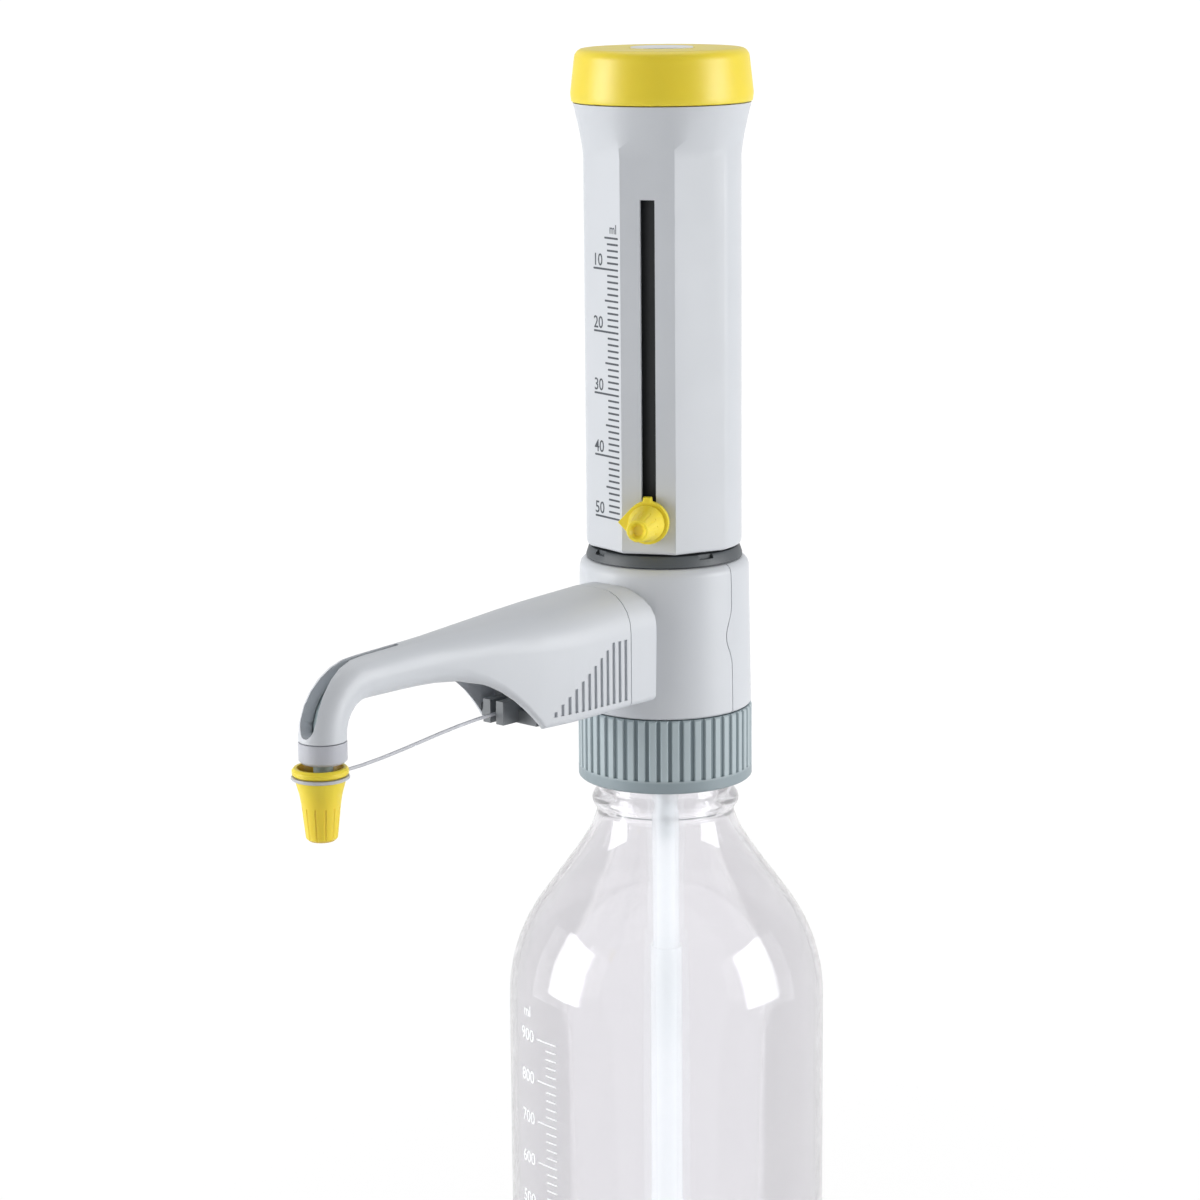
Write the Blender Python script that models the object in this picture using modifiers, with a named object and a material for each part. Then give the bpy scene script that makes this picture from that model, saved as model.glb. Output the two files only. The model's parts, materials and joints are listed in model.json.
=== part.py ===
"""Bottle top dispenser for 5 to 50 ml, screwed on a one litre laboratory bottle.

Metres, +Z up. The origin is the centre of the bottle's base on the surface it stands on,
and the spout points along -X. Every piece is a closed solid of its own. Pieces that touch
keep FIT between them, and pieces that run in one another keep RUN.
"""

import math

import bmesh
import bpy
from mathutils import Matrix

# Clearances
FIT = 0.0003
RUN = 0.0003
CUT_PAST = 0.01

# Facets round a full turn
ROUND = 40
SMALL_ROUND = 20
BEND_STEPS = 7
STRAP_PIECES = 8

# Bottle of one litre with a 45 mm screw neck
BOTTLE_RADIUS = 0.0505
BOTTLE_HEIGHT = 0.225
GLASS_WALL = 0.0022
HEEL_RADIUS = 0.008
STANDING_RING_RADIUS = 0.0405
PUSH_UP = 0.0015
NECK_LENGTH = 0.034
NECK_RADIUS = 0.0206
NECK_BORE = 0.0168
SHOULDER_ARC_RADIUS = 0.055
SHOULDER_SLOPE = math.radians(36)
BEAD_RADIUS = 0.0238
BEAD_HEIGHT = 0.0064
BEAD_BELOW_RIM = 0.0272
LIP_ROUNDING = 0.001

# Seal, retainer and threaded collar on the bottle's rim
SEAL_THICKNESS = 0.001
RETAINER_FLANGE = 0.0012
RETAINER_FLANGE_RADIUS = 0.0203
RETAINER_NECK_RADIUS = 0.0133
RETAINER_BORE = 0.011
RETAINER_NECK_HEIGHT = 0.0075
RETAINER_BEAD = 0.0006
COLLAR_RADIUS = 0.0275
COLLAR_SKIRT = 0.020
COLLAR_TOP_WALL = 0.0016
COLLAR_THREAD_ROOM = 0.0022
COLLAR_RIBS = 48
COLLAR_RIB_DEPTH = 0.0009
COLLAR_PLAIN_BAND = 0.004
COLLAR_EDGE = 0.0006
COLLAR_SPIGOT_RADIUS = 0.0215

# Valve block casing
CASING_HEIGHT = 0.0470
CASING_BOTTOM_RADIUS = 0.0273
CASING_TOP_RADIUS = 0.0266
CASING_WALL = 0.002
CASING_TOP_ROUNDING = 0.003
CASING_BOTTOM_CHAMFER = 0.0006
SEAM_X = 0.0014
SEAM_BULGE = 0.0026
SEAM_BULGE_ABOVE_BASE = 0.0245
SEAM_BULGE_HALF_HEIGHT = 0.0095

# Boss of the casing, where the spout plugs on
BOSS_HALF_WIDTH = 0.016
BOSS_REACH = 0.033
BOSS_FOOT_ABOVE_BASE = 0.0063
BOSS_HEIGHT = 0.0354
BOSS_TOP_ROUNDING = 0.012
BOSS_FOOT_ROUNDING = 0.0018
BOSS_WALL = 0.0022

# Valve core inside the casing
CORE_RADIUS = 0.0185
CORE_SHOULDER_BELOW_TOP = 0.010
CORE_TOP_BELOW_CASING_TOP = 0.0005
FILLING_BORE = 0.0073
FILLING_BORE_DEPTH = 0.020
CHANNEL_RADIUS = 0.0035
DISCHARGE_ABOVE_BASE = 0.0273
DISCHARGE_SPIGOT_RADIUS = 0.0085
DISCHARGE_SPIGOT_REACH = 0.024
DISCHARGE_BORE = 0.0053
DISCHARGE_BORE_DEPTH = 0.015
CROSS_CHANNEL_RADIUS = 0.002
VENT_ABOVE_BASE = 0.0225
VENT_SPIGOT_RADIUS = 0.004
VENT_SPIGOT_REACH = 0.0297
VENT_CHANNEL_RADIUS = 0.0016
VENT_CAP_RADIUS = 0.0058
VENT_CAP_TOP_WALL = 0.0015
VENT_CAP_RIBS = 12

# Filling valve and filling tube
FILLING_STEM_RADIUS = 0.006
FILLING_STEM_BELOW_RIM = 0.0168
OLIVE_RADIUS = 0.003
OLIVE_LENGTH = 0.0242
INLET_RADIUS = 0.0016
BALL_CHAMBER_RADIUS = 0.0033
BALL_CHAMBER_HEIGHT = 0.0068
BALL_RADIUS = 0.0026
BALL_EXIT_RADIUS = 0.0019
TUBE_OUTER = 0.00425
TUBE_BORE = 0.0032
UPPER_TUBE_LENGTH = 0.090
LOWER_TUBE_WALL = 0.00055
TUBE_OVERLAP = 0.030
TUBE_ABOVE_FLOOR = 0.010
TUBE_END_SLANT = math.radians(30)

# Dispensing cylinder, sleeve and piston. The bore over the stroke holds 50 ml
CYLINDER_BORE = 0.012876
CYLINDER_WALL = 0.0016
CYLINDER_SEAL = 0.0007
CYLINDER_SPARE = 0.012
SLEEVE_WALL = 0.0027
STOP_RING_HEIGHT = 0.0017
PISTON_HEIGHT = 0.016
PISTON_CLEARANCE = 0.00025
PISTON_FLOOR_GAP = 0.0007
PISTON_SEAL_HEIGHT = 0.003
PISTON_SEAL_DEPTH = 0.0012
ROD_RADIUS = 0.0046
ROD_FLANGE_RADIUS = 0.009
ROD_FLANGE_HEIGHT = 0.0025

# Safety ring between the valve block and the housing
SAFETY_RING_RADIUS = 0.0238
SAFETY_RING_FOOT_RADIUS = 0.0245
SAFETY_RING_FOOT_HEIGHT = 0.0006
SAFETY_RING_HEIGHT = 0.0033
SAFETY_RING_KEYS = 4

# Housing that lifts with the piston
HOUSING_RADIUS = 0.0243
HOUSING_CAVITY_RADIUS = 0.021
HOUSING_ABOVE_CASING = 0.0041
HOUSING_LENGTH = 0.1368
HOUSING_ENDS = 0.0408
FLARE_HEIGHT = 0.014
FLARE_RADIUS = 0.0274
HOUSING_EDGE = 0.0012
FACET_HALF_ANGLE = math.radians(20.4)
FACET_AZIMUTH = math.radians(210)
CAVITY_SPARE = 0.0034
BULKHEAD = 0.008
HOUSING_MOUTH_WALL = 0.0028
HOUSING_MOUTH_FOOT_RADIUS = 0.022
SLOT_WIDTH = 0.0046
NUT_RADIUS = 0.009
NUT_HEIGHT = 0.0045
NUT_SIDES = 6

# Cap on the housing
CAP_HEIGHT = 0.0161
CAP_SKIRT_RADIUS = 0.0278
CAP_WIDEST_RADIUS = 0.0281
CAP_TOP_RADIUS = 0.0269
CAP_ROUNDING = 0.003
CAP_WALL = 0.0028
CAP_SPIGOT_DEPTH = 0.004
CAP_SPIGOT_WALL = 0.0018
DISC_RADIUS = 0.0096
DISC_HEIGHT = 0.001
DISC_STAND = 0.0003

# Volume pointer in the slot and its thumb screw
POINTER_ABOVE_HOUSING_FOOT = 0.0105
POINTER_DISC_RADIUS = 0.0067
POINTER_DISC_HEIGHT = 0.0024
POINTER_REACH = 0.0092
POINTER_TAB_WIDTH = 0.0026
POINTER_TAB_REACH = 0.0079
POINTER_STEM_RADIUS = 0.002
POINTER_BLOCK_WIDTH = 0.0078
POINTER_BLOCK_HEIGHT = 0.007
KNOB_FOOT_RADIUS = 0.0056
KNOB_WAIST_RADIUS = 0.0046
KNOB_TIP_RADIUS = 0.0036
KNOB_LENGTH = 0.0134
KNOB_DIMPLE_RADIUS = 0.0026
KNOB_DIMPLE_DEPTH = 0.0012
KNOB_RIBS = 12
KNOB_RIB_DEPTH = 0.00045
SCREW_RADIUS = 0.0011

# Discharge coupling and valve
COUPLING_PLUG_LENGTH = 0.012
COUPLING_FLANGE_RADIUS = 0.0078
COUPLING_FLANGE_HEIGHT = 0.0027
COUPLING_NOSE_RADIUS = 0.0055
COUPLING_NOSE_LENGTH = 0.011
COUPLING_CHANNEL = 0.0014
COUPLING_SEAL_WIDTH = 0.001
DISCHARGE_CHAMBER_RADIUS = 0.0027
DISCHARGE_CHAMBER_LENGTH = 0.0056
DISCHARGE_BALL_RADIUS = 0.0021

# Spout
SPOUT_REACH = 0.1463
ARM_RADIUS = 0.0064
NOZZLE_RADIUS = 0.007
ARM_AXIS_ABOVE_BASE = 0.0307
BEND_RADIUS = 0.015
NOZZLE_BELOW_ARM = 0.0159
GRIP_LENGTH = 0.0356
GRIP_TAPER_START = 0.050
GRIP_RING_PAST_TAPER = 0.008
ARCH_LENGTH = 0.0354
ARCH_FULLNESS = 2.4
ARM_STRAIGHT = 0.0153
GRIP_DROP = 0.0008
GRIP_GROOVES = 12
GRIP_GROOVE_PITCH = 0.0027
GRIP_GROOVE_WIDTH = 0.0013
GRIP_GROOVE_DEPTH = 0.0008
SPOUT_SKIN = 0.002
REAR_POCKET_HALF_WIDTH = 0.0105
REAR_POCKET_LENGTH = 0.027
REAR_POCKET_BELOW_AXIS = 0.0158
REAR_POCKET_ABOVE_AXIS = 0.009
UNDER_POCKET_WALL = 0.003
UNDER_POCKET_CEILING = 0.0014

# Discharge tube inside the spout, its sleeve and the channel that shows it
SPOUT_TUBE_RADIUS = 0.00295
SPOUT_TUBE_BORE = 0.0015
CHANNEL_STRAIGHT = 0.0155
CHANNEL_START_DEPTH = 0.003
CHANNEL_BELOW_TUBE_AXIS = 0.0008
CHANNEL_FLOOR_HALF_WIDTH = 0.0022
CHANNEL_SLIT_HALF_WIDTH = 0.001
CHANNEL_HALF_WIDTH = 0.0032
CHANNEL_WIDEST_ANGLE = math.radians(75)
CHANNEL_END_ANGLE = math.radians(89)
NOZZLE_SLEEVE_RADIUS = 0.0071
NOZZLE_SLEEVE_HEIGHT = 0.0062
TUBE_BELOW_SLEEVE = 0.0082

# Cap of the spout's tip, its strap and its holder
TIP_CAP_OFFSET = 0.0012
TIP_CAP_FLANGE_RADIUS = 0.0082
TIP_CAP_FLANGE_HEIGHT = 0.0022
TIP_CAP_GROOVE_RADIUS = 0.0068
TIP_CAP_GROOVE_HEIGHT = 0.0015
TIP_CAP_SHOULDER_RADIUS = 0.0074
TIP_CAP_NECK_RADIUS = 0.0062
TIP_CAP_WAIST_RADIUS = 0.0057
TIP_CAP_FOOT_RADIUS = 0.0046
TIP_CAP_TAPER = 0.0072
TIP_CAP_BODY_LENGTH = 0.0179
TIP_CAP_BELOW_SLEEVE = 0.0012
TIP_CAP_MOUTH_RADIUS = 0.0067
TIP_CAP_SEAT_RADIUS = 0.0046
TIP_CAP_RIBS = 12
TIP_CAP_RIB_DEPTH = 0.0005
STRAP_RADIUS = 0.0006
STRAP_EYE_RADIUS = 0.0019
STRAP_RING_WIDTH = 0.0015
STRAP_RING_THICKNESS = 0.0009
STRAP_PIN_RADIUS = 0.001
STRAP_PIN_REACH = 0.0735
STRAP_PIN_BELOW_AXIS = 0.0177
HOLDER_PLATE_FRONT = 0.0705
HOLDER_PLATE_HEIGHT = 0.004
HOLDER_LUG_FRONT = 0.0772
HOLDER_LUG_HALF_WIDTH = 0.0042
HOLDER_LUG_HEIGHT = 0.0072
HOLDER_NOTCH_WIDTH = 0.0024

# Heights worked out from the sizes above
RIM = BOTTLE_HEIGHT
SEAL_BOTTOM = RIM + FIT
SEAL_TOP = SEAL_BOTTOM + SEAL_THICKNESS
RETAINER_BOTTOM = SEAL_TOP + FIT
RETAINER_FLANGE_TOP = RETAINER_BOTTOM + RETAINER_FLANGE
COLLAR_INNER_BOTTOM = RETAINER_FLANGE_TOP + FIT
COLLAR_BOTTOM = RIM - COLLAR_SKIRT
COLLAR_INNER_TOP = COLLAR_INNER_BOTTOM + COLLAR_TOP_WALL
COLLAR_SHOULDER = COLLAR_INNER_BOTTOM + FIT
CASING_BASE = COLLAR_SHOULDER + FIT
CASING_TOP = CASING_BASE + CASING_HEIGHT
CORE_BOTTOM = COLLAR_INNER_TOP + FIT
CORE_TOP = CASING_TOP - CORE_TOP_BELOW_CASING_TOP
CORE_SHOULDER = CORE_TOP - CORE_SHOULDER_BELOW_TOP
CYLINDER_OUTER = CYLINDER_BORE + CYLINDER_WALL
SEAL_RING_BOTTOM = CORE_TOP + FIT
CYLINDER_BOTTOM = SEAL_RING_BOTTOM + CYLINDER_SEAL + FIT
STROKE = HOUSING_LENGTH - HOUSING_ENDS
CYLINDER_TOP = CYLINDER_BOTTOM + STROKE + CYLINDER_SPARE
SLEEVE_BORE = CYLINDER_OUTER + FIT
SLEEVE_OUTER = SLEEVE_BORE + SLEEVE_WALL
SLEEVE_BOTTOM = CORE_SHOULDER + FIT
SAFETY_RING_BOTTOM = CASING_TOP + FIT
HOUSING_BOTTOM = CASING_TOP + HOUSING_ABOVE_CASING
HOUSING_TOP = HOUSING_BOTTOM + HOUSING_LENGTH
POINTER_HEIGHT = HOUSING_BOTTOM + POINTER_ABOVE_HOUSING_FOOT
STOP_BOTTOM = POINTER_HEIGHT + POINTER_BLOCK_HEIGHT / 2 + STROKE + FIT
STOP_TOP = STOP_BOTTOM + STOP_RING_HEIGHT
SLEEVE_TOP = STOP_BOTTOM - FIT
CAVITY_TOP = STOP_TOP + CAVITY_SPARE
BULKHEAD_TOP = CAVITY_TOP + BULKHEAD
PISTON_BOTTOM = CYLINDER_BOTTOM + PISTON_FLOOR_GAP
PISTON_TOP = PISTON_BOTTOM + PISTON_HEIGHT
ROD_BOTTOM = PISTON_BOTTOM + 0.2 * PISTON_HEIGHT
NUT_BOTTOM = BULKHEAD_TOP + FIT
NUT_TOP = NUT_BOTTOM + NUT_HEIGHT
CAP_BOTTOM = HOUSING_TOP + FIT
CAP_TOP = CAP_BOTTOM + CAP_HEIGHT
DISCHARGE_HEIGHT = CASING_BASE + DISCHARGE_ABOVE_BASE
VENT_HEIGHT = CASING_BASE + VENT_ABOVE_BASE
VALVE_TOP = CORE_BOTTOM + FILLING_BORE_DEPTH - FIT
STEM_TOP = RETAINER_FLANGE_TOP
STEM_BOTTOM = RIM - FILLING_STEM_BELOW_RIM
UPPER_TUBE_TOP = STEM_BOTTOM - FIT
UPPER_TUBE_BOTTOM = UPPER_TUBE_TOP - UPPER_TUBE_LENGTH
LOWER_TUBE_TOP = UPPER_TUBE_BOTTOM + TUBE_OVERLAP
LOWER_TUBE_BOTTOM = PUSH_UP + GLASS_WALL + TUBE_ABOVE_FLOOR
LOWER_TUBE_BORE = TUBE_OUTER + RUN
LOWER_TUBE_OUTER = LOWER_TUBE_BORE + LOWER_TUBE_WALL
BOSS_FOOT = CASING_BASE + BOSS_FOOT_ABOVE_BASE
BOSS_TOP = BOSS_FOOT + BOSS_HEIGHT
SPOUT_START = BOSS_REACH + FIT
GRIP_END = SPOUT_START + GRIP_LENGTH
ARM_HEIGHT = CASING_BASE + ARM_AXIS_ABOVE_BASE
BEND_START = SPOUT_REACH - BEND_RADIUS
ARM_START = BEND_START - ARM_STRAIGHT
NOZZLE_END = ARM_HEIGHT - NOZZLE_BELOW_ARM
SLEEVE_END = NOZZLE_END - FIT - NOZZLE_SLEEVE_HEIGHT
SPOUT_TUBE_END = SLEEVE_END - TUBE_BELOW_SLEEVE
COUPLING_FLANGE_START = DISCHARGE_SPIGOT_REACH + FIT
COUPLING_END = COUPLING_FLANGE_START + COUPLING_FLANGE_HEIGHT + COUPLING_NOSE_LENGTH
SPOUT_TUBE_START = COUPLING_END + FIT
TIP_CAP_TOP = SLEEVE_END - TIP_CAP_BELOW_SLEEVE
TIP_CAP_GROOVE_TOP = TIP_CAP_TOP - TIP_CAP_FLANGE_HEIGHT
TIP_CAP_SHOULDER = TIP_CAP_GROOVE_TOP - TIP_CAP_GROOVE_HEIGHT
TIP_CAP_BOTTOM = TIP_CAP_SHOULDER - TIP_CAP_BODY_LENGTH
STRAP_RING_HEIGHT = TIP_CAP_GROOVE_TOP - TIP_CAP_GROOVE_HEIGHT / 2
STRAP_RING_INNER = TIP_CAP_GROOVE_RADIUS + RUN
STRAP_RING_OUTER = STRAP_RING_INNER + STRAP_RING_WIDTH
TIP_CAP_X = -(SPOUT_REACH + TIP_CAP_OFFSET)
STRAP_PIN_HEIGHT = DISCHARGE_HEIGHT - STRAP_PIN_BELOW_AXIS
FACET_APOTHEM = HOUSING_RADIUS * math.cos(FACET_HALF_ANGLE)

# Colours, in linear light
PALE_GREY = (0.62, 0.65, 0.68)
BLUE_GREY = (0.24, 0.31, 0.34)
DARK_GREY = (0.02, 0.024, 0.028)
YELLOW = (0.83, 0.66, 0.04)
WHITE = (0.85, 0.86, 0.87)
MILKY = (0.80, 0.83, 0.84)
CLEAR = (0.92, 0.95, 0.96)
CERAMIC = (0.90, 0.88, 0.84)
STEEL = (0.55, 0.55, 0.56)


# Finish of each material: colour, roughness, metallic, alpha and transmission
FINISHES = {
    "glass": (CLEAR, 0.02, 0.0, 0.35, 1.0),
    "clear_tube": (CLEAR, 0.1, 0.0, 0.5, 0.8),
    "filling_tube": (MILKY, 0.3, 0.0, 0.7, 0.5),
    "pale_plastic": (PALE_GREY, 0.38, 0.0, 1.0, 0.0),
    "collar_plastic": (BLUE_GREY, 0.4, 0.0, 1.0, 0.0),
    "dark_plastic": (DARK_GREY, 0.45, 0.0, 1.0, 0.0),
    "yellow_plastic": (YELLOW, 0.35, 0.0, 1.0, 0.0),
    "white_polymer": (WHITE, 0.5, 0.0, 1.0, 0.0),
    "strap_polymer": (WHITE, 0.45, 0.0, 1.0, 0.0),
    "milky_polymer": (MILKY, 0.4, 0.0, 1.0, 0.0),
    "ceramic": (CERAMIC, 0.2, 0.0, 1.0, 0.0),
    "steel": (STEEL, 0.3, 1.0, 1.0, 0.0),
}

PART_COLLECTION = "bottle_top_dispenser"
CUTTERS = "cutters"


def clear_scene():
    """Start from an empty scene without closing the file."""
    for item in list(bpy.data.objects):
        bpy.data.objects.remove(item, do_unlink=True)
    for group in list(bpy.data.collections):
        bpy.data.collections.remove(group)
    for name in (PART_COLLECTION, CUTTERS):
        bpy.context.scene.collection.children.link(bpy.data.collections.new(name))


def material(name):
    """The named finish as a Principled material, made on first use."""
    made = bpy.data.materials.get(name)
    if made:
        return made
    colour, roughness, metallic, alpha, transmission = FINISHES[name]
    made = bpy.data.materials.new(name)
    made.use_nodes = True
    shader = made.node_tree.nodes["Principled BSDF"]
    shader.inputs["Base Color"].default_value = (*colour, 1.0)
    shader.inputs["Roughness"].default_value = roughness
    shader.inputs["Metallic"].default_value = metallic
    shader.inputs["Alpha"].default_value = alpha
    shader.inputs["Transmission Weight"].default_value = transmission
    return made


def add_object(name, data, group):
    item = bpy.data.objects.new(name, data)
    bpy.data.collections[group].objects.link(item)
    return item


def from_bmesh(name, shape, group):
    data = bpy.data.meshes.new(name)
    shape.to_mesh(data)
    shape.free()
    return add_object(name, data, group)


def hide(tool):
    """A cutter is drawn as wire and is never rendered."""
    tool.hide_render = True
    tool.display_type = "WIRE"
    return tool


def turned(name, profile, steps=ROUND, group=PART_COLLECTION):
    """Turn a profile of (radius, height) points, which runs down its outer side, round Z.

    A profile whose ends both lie on the axis stays open, any other is a closed loop.
    """
    on_axis = profile[0][0] == 0 and profile[-1][0] == 0
    points = [(radius, 0.0, height) for radius, height in profile]
    edges = [(i, i + 1) for i in range(len(points) - 1)]
    if not on_axis:
        edges.append((len(points) - 1, 0))
    data = bpy.data.meshes.new(name)
    data.from_pydata(points, edges, [])
    item = add_object(name, data, group)
    screw = item.modifiers.new("turn", "SCREW")
    screw.axis = "Z"
    screw.angle = math.tau
    screw.steps = steps
    screw.render_steps = steps
    screw.use_merge_vertices = True
    screw.merge_threshold = 0.000001
    return item


def arc(centre, radius, start, end, pieces):
    """Points (radius, height) on an arc from one angle to another, in degrees."""
    points = []
    for i in range(pieces + 1):
        angle = math.radians(start + (end - start) * i / pieces)
        points.append((centre[0] + radius * math.cos(angle), centre[1] + radius * math.sin(angle)))
    return points


def ring_profile(outer, inner, bottom, top):
    """A plain ring's section."""
    return [(outer, top), (outer, bottom), (inner, bottom), (inner, top)]


def rod_profile(radius, bottom, top):
    """A plain solid rod's section."""
    return [(0, top), (radius, top), (radius, bottom), (0, bottom)]


def boolean(item, other, operation):
    """Join, cut or keep what two shapes share. The other shape becomes a hidden tool."""
    hide(other)
    change = item.modifiers.new(operation.lower(), "BOOLEAN")
    change.operation = operation
    change.solver = "EXACT"
    change.object = other
    return item


def cut(item, tool):
    return boolean(item, tool, "DIFFERENCE")


def join(item, tool):
    return boolean(item, tool, "UNION")


def keep(item, tool):
    return boolean(item, tool, "INTERSECT")


def block(name, low, high, group=PART_COLLECTION):
    """A box between two corners."""
    shape = bmesh.new()
    size = [high[i] - low[i] for i in range(3)]
    middle = [(high[i] + low[i]) / 2 for i in range(3)]
    place = Matrix.Translation(middle) @ Matrix.Diagonal((*size, 1.0))
    bmesh.ops.create_cube(shape, size=1.0, matrix=place)
    return from_bmesh(name, shape, group)


def rod_between(name, start, end, radius, segments=SMALL_ROUND, group=PART_COLLECTION):
    """A cylinder along X, Y or Z from one point to another."""
    shape = bmesh.new()
    along = [end[i] - start[i] for i in range(3)]
    middle = [(end[i] + start[i]) / 2 for i in range(3)]
    length = math.sqrt(sum(step * step for step in along))
    turn = Matrix.Identity(4)
    if abs(along[0]) > length / 2:
        turn = Matrix.Rotation(math.pi / 2, 4, "Y")
    if abs(along[1]) > length / 2:
        turn = Matrix.Rotation(math.pi / 2, 4, "X")
    bmesh.ops.create_cone(
        shape, cap_ends=True, segments=segments, radius1=radius, radius2=radius,
        depth=length, matrix=Matrix.Translation(middle) @ turn,
    )
    return from_bmesh(name, shape, group)


def grooves(name, count, radius, depth, bottom, top, lean=0.0):
    """Upright six-sided cutters round the Z axis, which lean outwards at the top by lean."""
    shape = bmesh.new()
    for i in range(count):
        place = (
            Matrix.Rotation(math.tau * i / count, 4, "Z")
            @ Matrix.Translation((radius, 0, (bottom + top) / 2))
            @ Matrix.Rotation(lean, 4, "Y")
        )
        bmesh.ops.create_cone(
            shape, cap_ends=True, segments=6, radius1=depth, radius2=depth,
            depth=top - bottom, matrix=place,
        )
    return from_bmesh(name, shape, CUTTERS)


def loft(name, rings, group=PART_COLLECTION):
    """Skin a list of rings that have the same number of points, and close both ends."""
    shape = bmesh.new()
    made = [[shape.verts.new(point) for point in ring] for ring in rings]
    count = len(made[0])
    for first, second in zip(made, made[1:]):
        for i in range(count):
            j = (i + 1) % count
            shape.faces.new((first[i], first[j], second[j], second[i]))
    shape.faces.new(reversed(made[0]))
    shape.faces.new(made[-1])
    bmesh.ops.recalc_face_normals(shape, faces=shape.faces)
    return from_bmesh(name, shape, group)


def as_mesh(curve_object, group=PART_COLLECTION):
    """Swap a curve object for a welded mesh object of the same name and place."""
    depsgraph = bpy.context.evaluated_depsgraph_get()
    data = bpy.data.meshes.new_from_object(curve_object.evaluated_get(depsgraph))
    shape = bmesh.new()
    shape.from_mesh(data)
    bmesh.ops.remove_doubles(shape, verts=shape.verts, dist=0.000001)
    shape.to_mesh(data)
    shape.free()
    name = curve_object.name
    place = curve_object.matrix_world.copy()
    bpy.data.objects.remove(curve_object, do_unlink=True)
    data.name = name
    item = add_object(name, data, group)
    item.matrix_world = place
    return item


def piped(name, points, radius, resolution=4, group=PART_COLLECTION):
    """A round bar along straight runs between points, as a mesh."""
    data = bpy.data.curves.new(name, "CURVE")
    data.dimensions = "3D"
    data.bevel_depth = radius
    data.bevel_resolution = resolution
    data.use_fill_caps = True
    spline = data.splines.new("POLY")
    spline.points.add(len(points) - 1)
    for target, point in zip(spline.points, points):
        target.co = (*point, 1.0)
    item = add_object(name, data, group)
    bpy.context.view_layer.update()
    return as_mesh(item, group)


def plate(name, outline, thickness, group=PART_COLLECTION):
    """A flat outline of (x, y) points made as thick as asked about its middle plane."""
    data = bpy.data.curves.new(name, "CURVE")
    data.dimensions = "2D"
    data.fill_mode = "BOTH"
    data.extrude = thickness / 2
    spline = data.splines.new("POLY")
    spline.points.add(len(outline) - 1)
    for target, point in zip(spline.points, outline):
        target.co = (*point, 0.0, 1.0)
    spline.use_cyclic_u = True
    item = add_object(name, data, group)
    bpy.context.view_layer.update()
    return as_mesh(item, group)


def finish(item, surface, parent=None):
    """Give a piece its material and, where it has one, its parent."""
    item.data.materials.append(material(surface))
    if parent:
        item.parent = parent
    return item


def joint_frame(name, place, azimuth=0.0):
    """An empty on a joint's axis."""
    item = bpy.data.objects.new(name, None)
    item.location = place
    item.rotation_euler = (0, 0, azimuth)
    bpy.data.collections[PART_COLLECTION].objects.link(item)
    return item


def shoulder_points(wall):
    """The shoulder from its foot up to the cone's end, as far inside the glass as wall."""
    slope = math.degrees(SHOULDER_SLOPE)
    neck = NECK_BORE if wall else NECK_RADIUS
    arc_end_radius = BOTTLE_RADIUS - SHOULDER_ARC_RADIUS * (1 - math.cos(SHOULDER_SLOPE))
    cone_height = (arc_end_radius - NECK_RADIUS) / math.tan(SHOULDER_SLOPE)
    start = RIM - NECK_LENGTH - cone_height - SHOULDER_ARC_RADIUS * math.sin(SHOULDER_SLOPE)
    centre = (BOTTLE_RADIUS - SHOULDER_ARC_RADIUS, start)
    points = arc(centre, SHOULDER_ARC_RADIUS - wall, 0, slope, 4)
    end_radius, end_height = points[-1]
    points.append((neck, end_height + (end_radius - neck) / math.tan(SHOULDER_SLOPE)))
    return points


def bottle_glass():
    """One litre bottle: pushed-up base, round heel, coned shoulder, bead and plain neck."""
    inner_heel = HEEL_RADIUS - GLASS_WALL
    inner_floor = PUSH_UP + GLASS_WALL
    heel_centre = (BOTTLE_RADIUS - HEEL_RADIUS, HEEL_RADIUS)
    bead = RIM - BEAD_BELOW_RIM
    bead_step = (BEAD_RADIUS - NECK_RADIUS) * 0.6
    inside = [(0, inner_floor), (STANDING_RING_RADIUS - 0.004, inner_floor)]
    inside += arc(heel_centre, inner_heel, -60, 0, 2)
    inside += shoulder_points(GLASS_WALL)
    inside += [(NECK_BORE, RIM - LIP_ROUNDING / 2), (NECK_BORE + LIP_ROUNDING / 2, RIM)]
    outside = [
        (NECK_RADIUS - LIP_ROUNDING, RIM),
        (NECK_RADIUS, RIM - LIP_ROUNDING),
        (NECK_RADIUS, bead + BEAD_HEIGHT / 2),
        (BEAD_RADIUS, bead + BEAD_HEIGHT / 2 - bead_step),
        (BEAD_RADIUS, bead - BEAD_HEIGHT / 2 + bead_step),
        (NECK_RADIUS, bead - BEAD_HEIGHT / 2),
    ]
    outside += list(reversed(shoulder_points(0)))
    outside += list(reversed(arc(heel_centre, HEEL_RADIUS, -90, 0, 4)))
    outside += [(STANDING_RING_RADIUS, 0), (STANDING_RING_RADIUS - 0.004, PUSH_UP), (0, PUSH_UP)]
    finish(turned("bottle_glass", inside + outside), "glass")


def bottle_seal():
    """Flat washer between the bottle's rim and the retainer."""
    profile = ring_profile(RETAINER_FLANGE_RADIUS, NECK_BORE, SEAL_BOTTOM, SEAL_TOP)
    finish(turned("bottle_seal", profile, SMALL_ROUND), "white_polymer")


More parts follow.
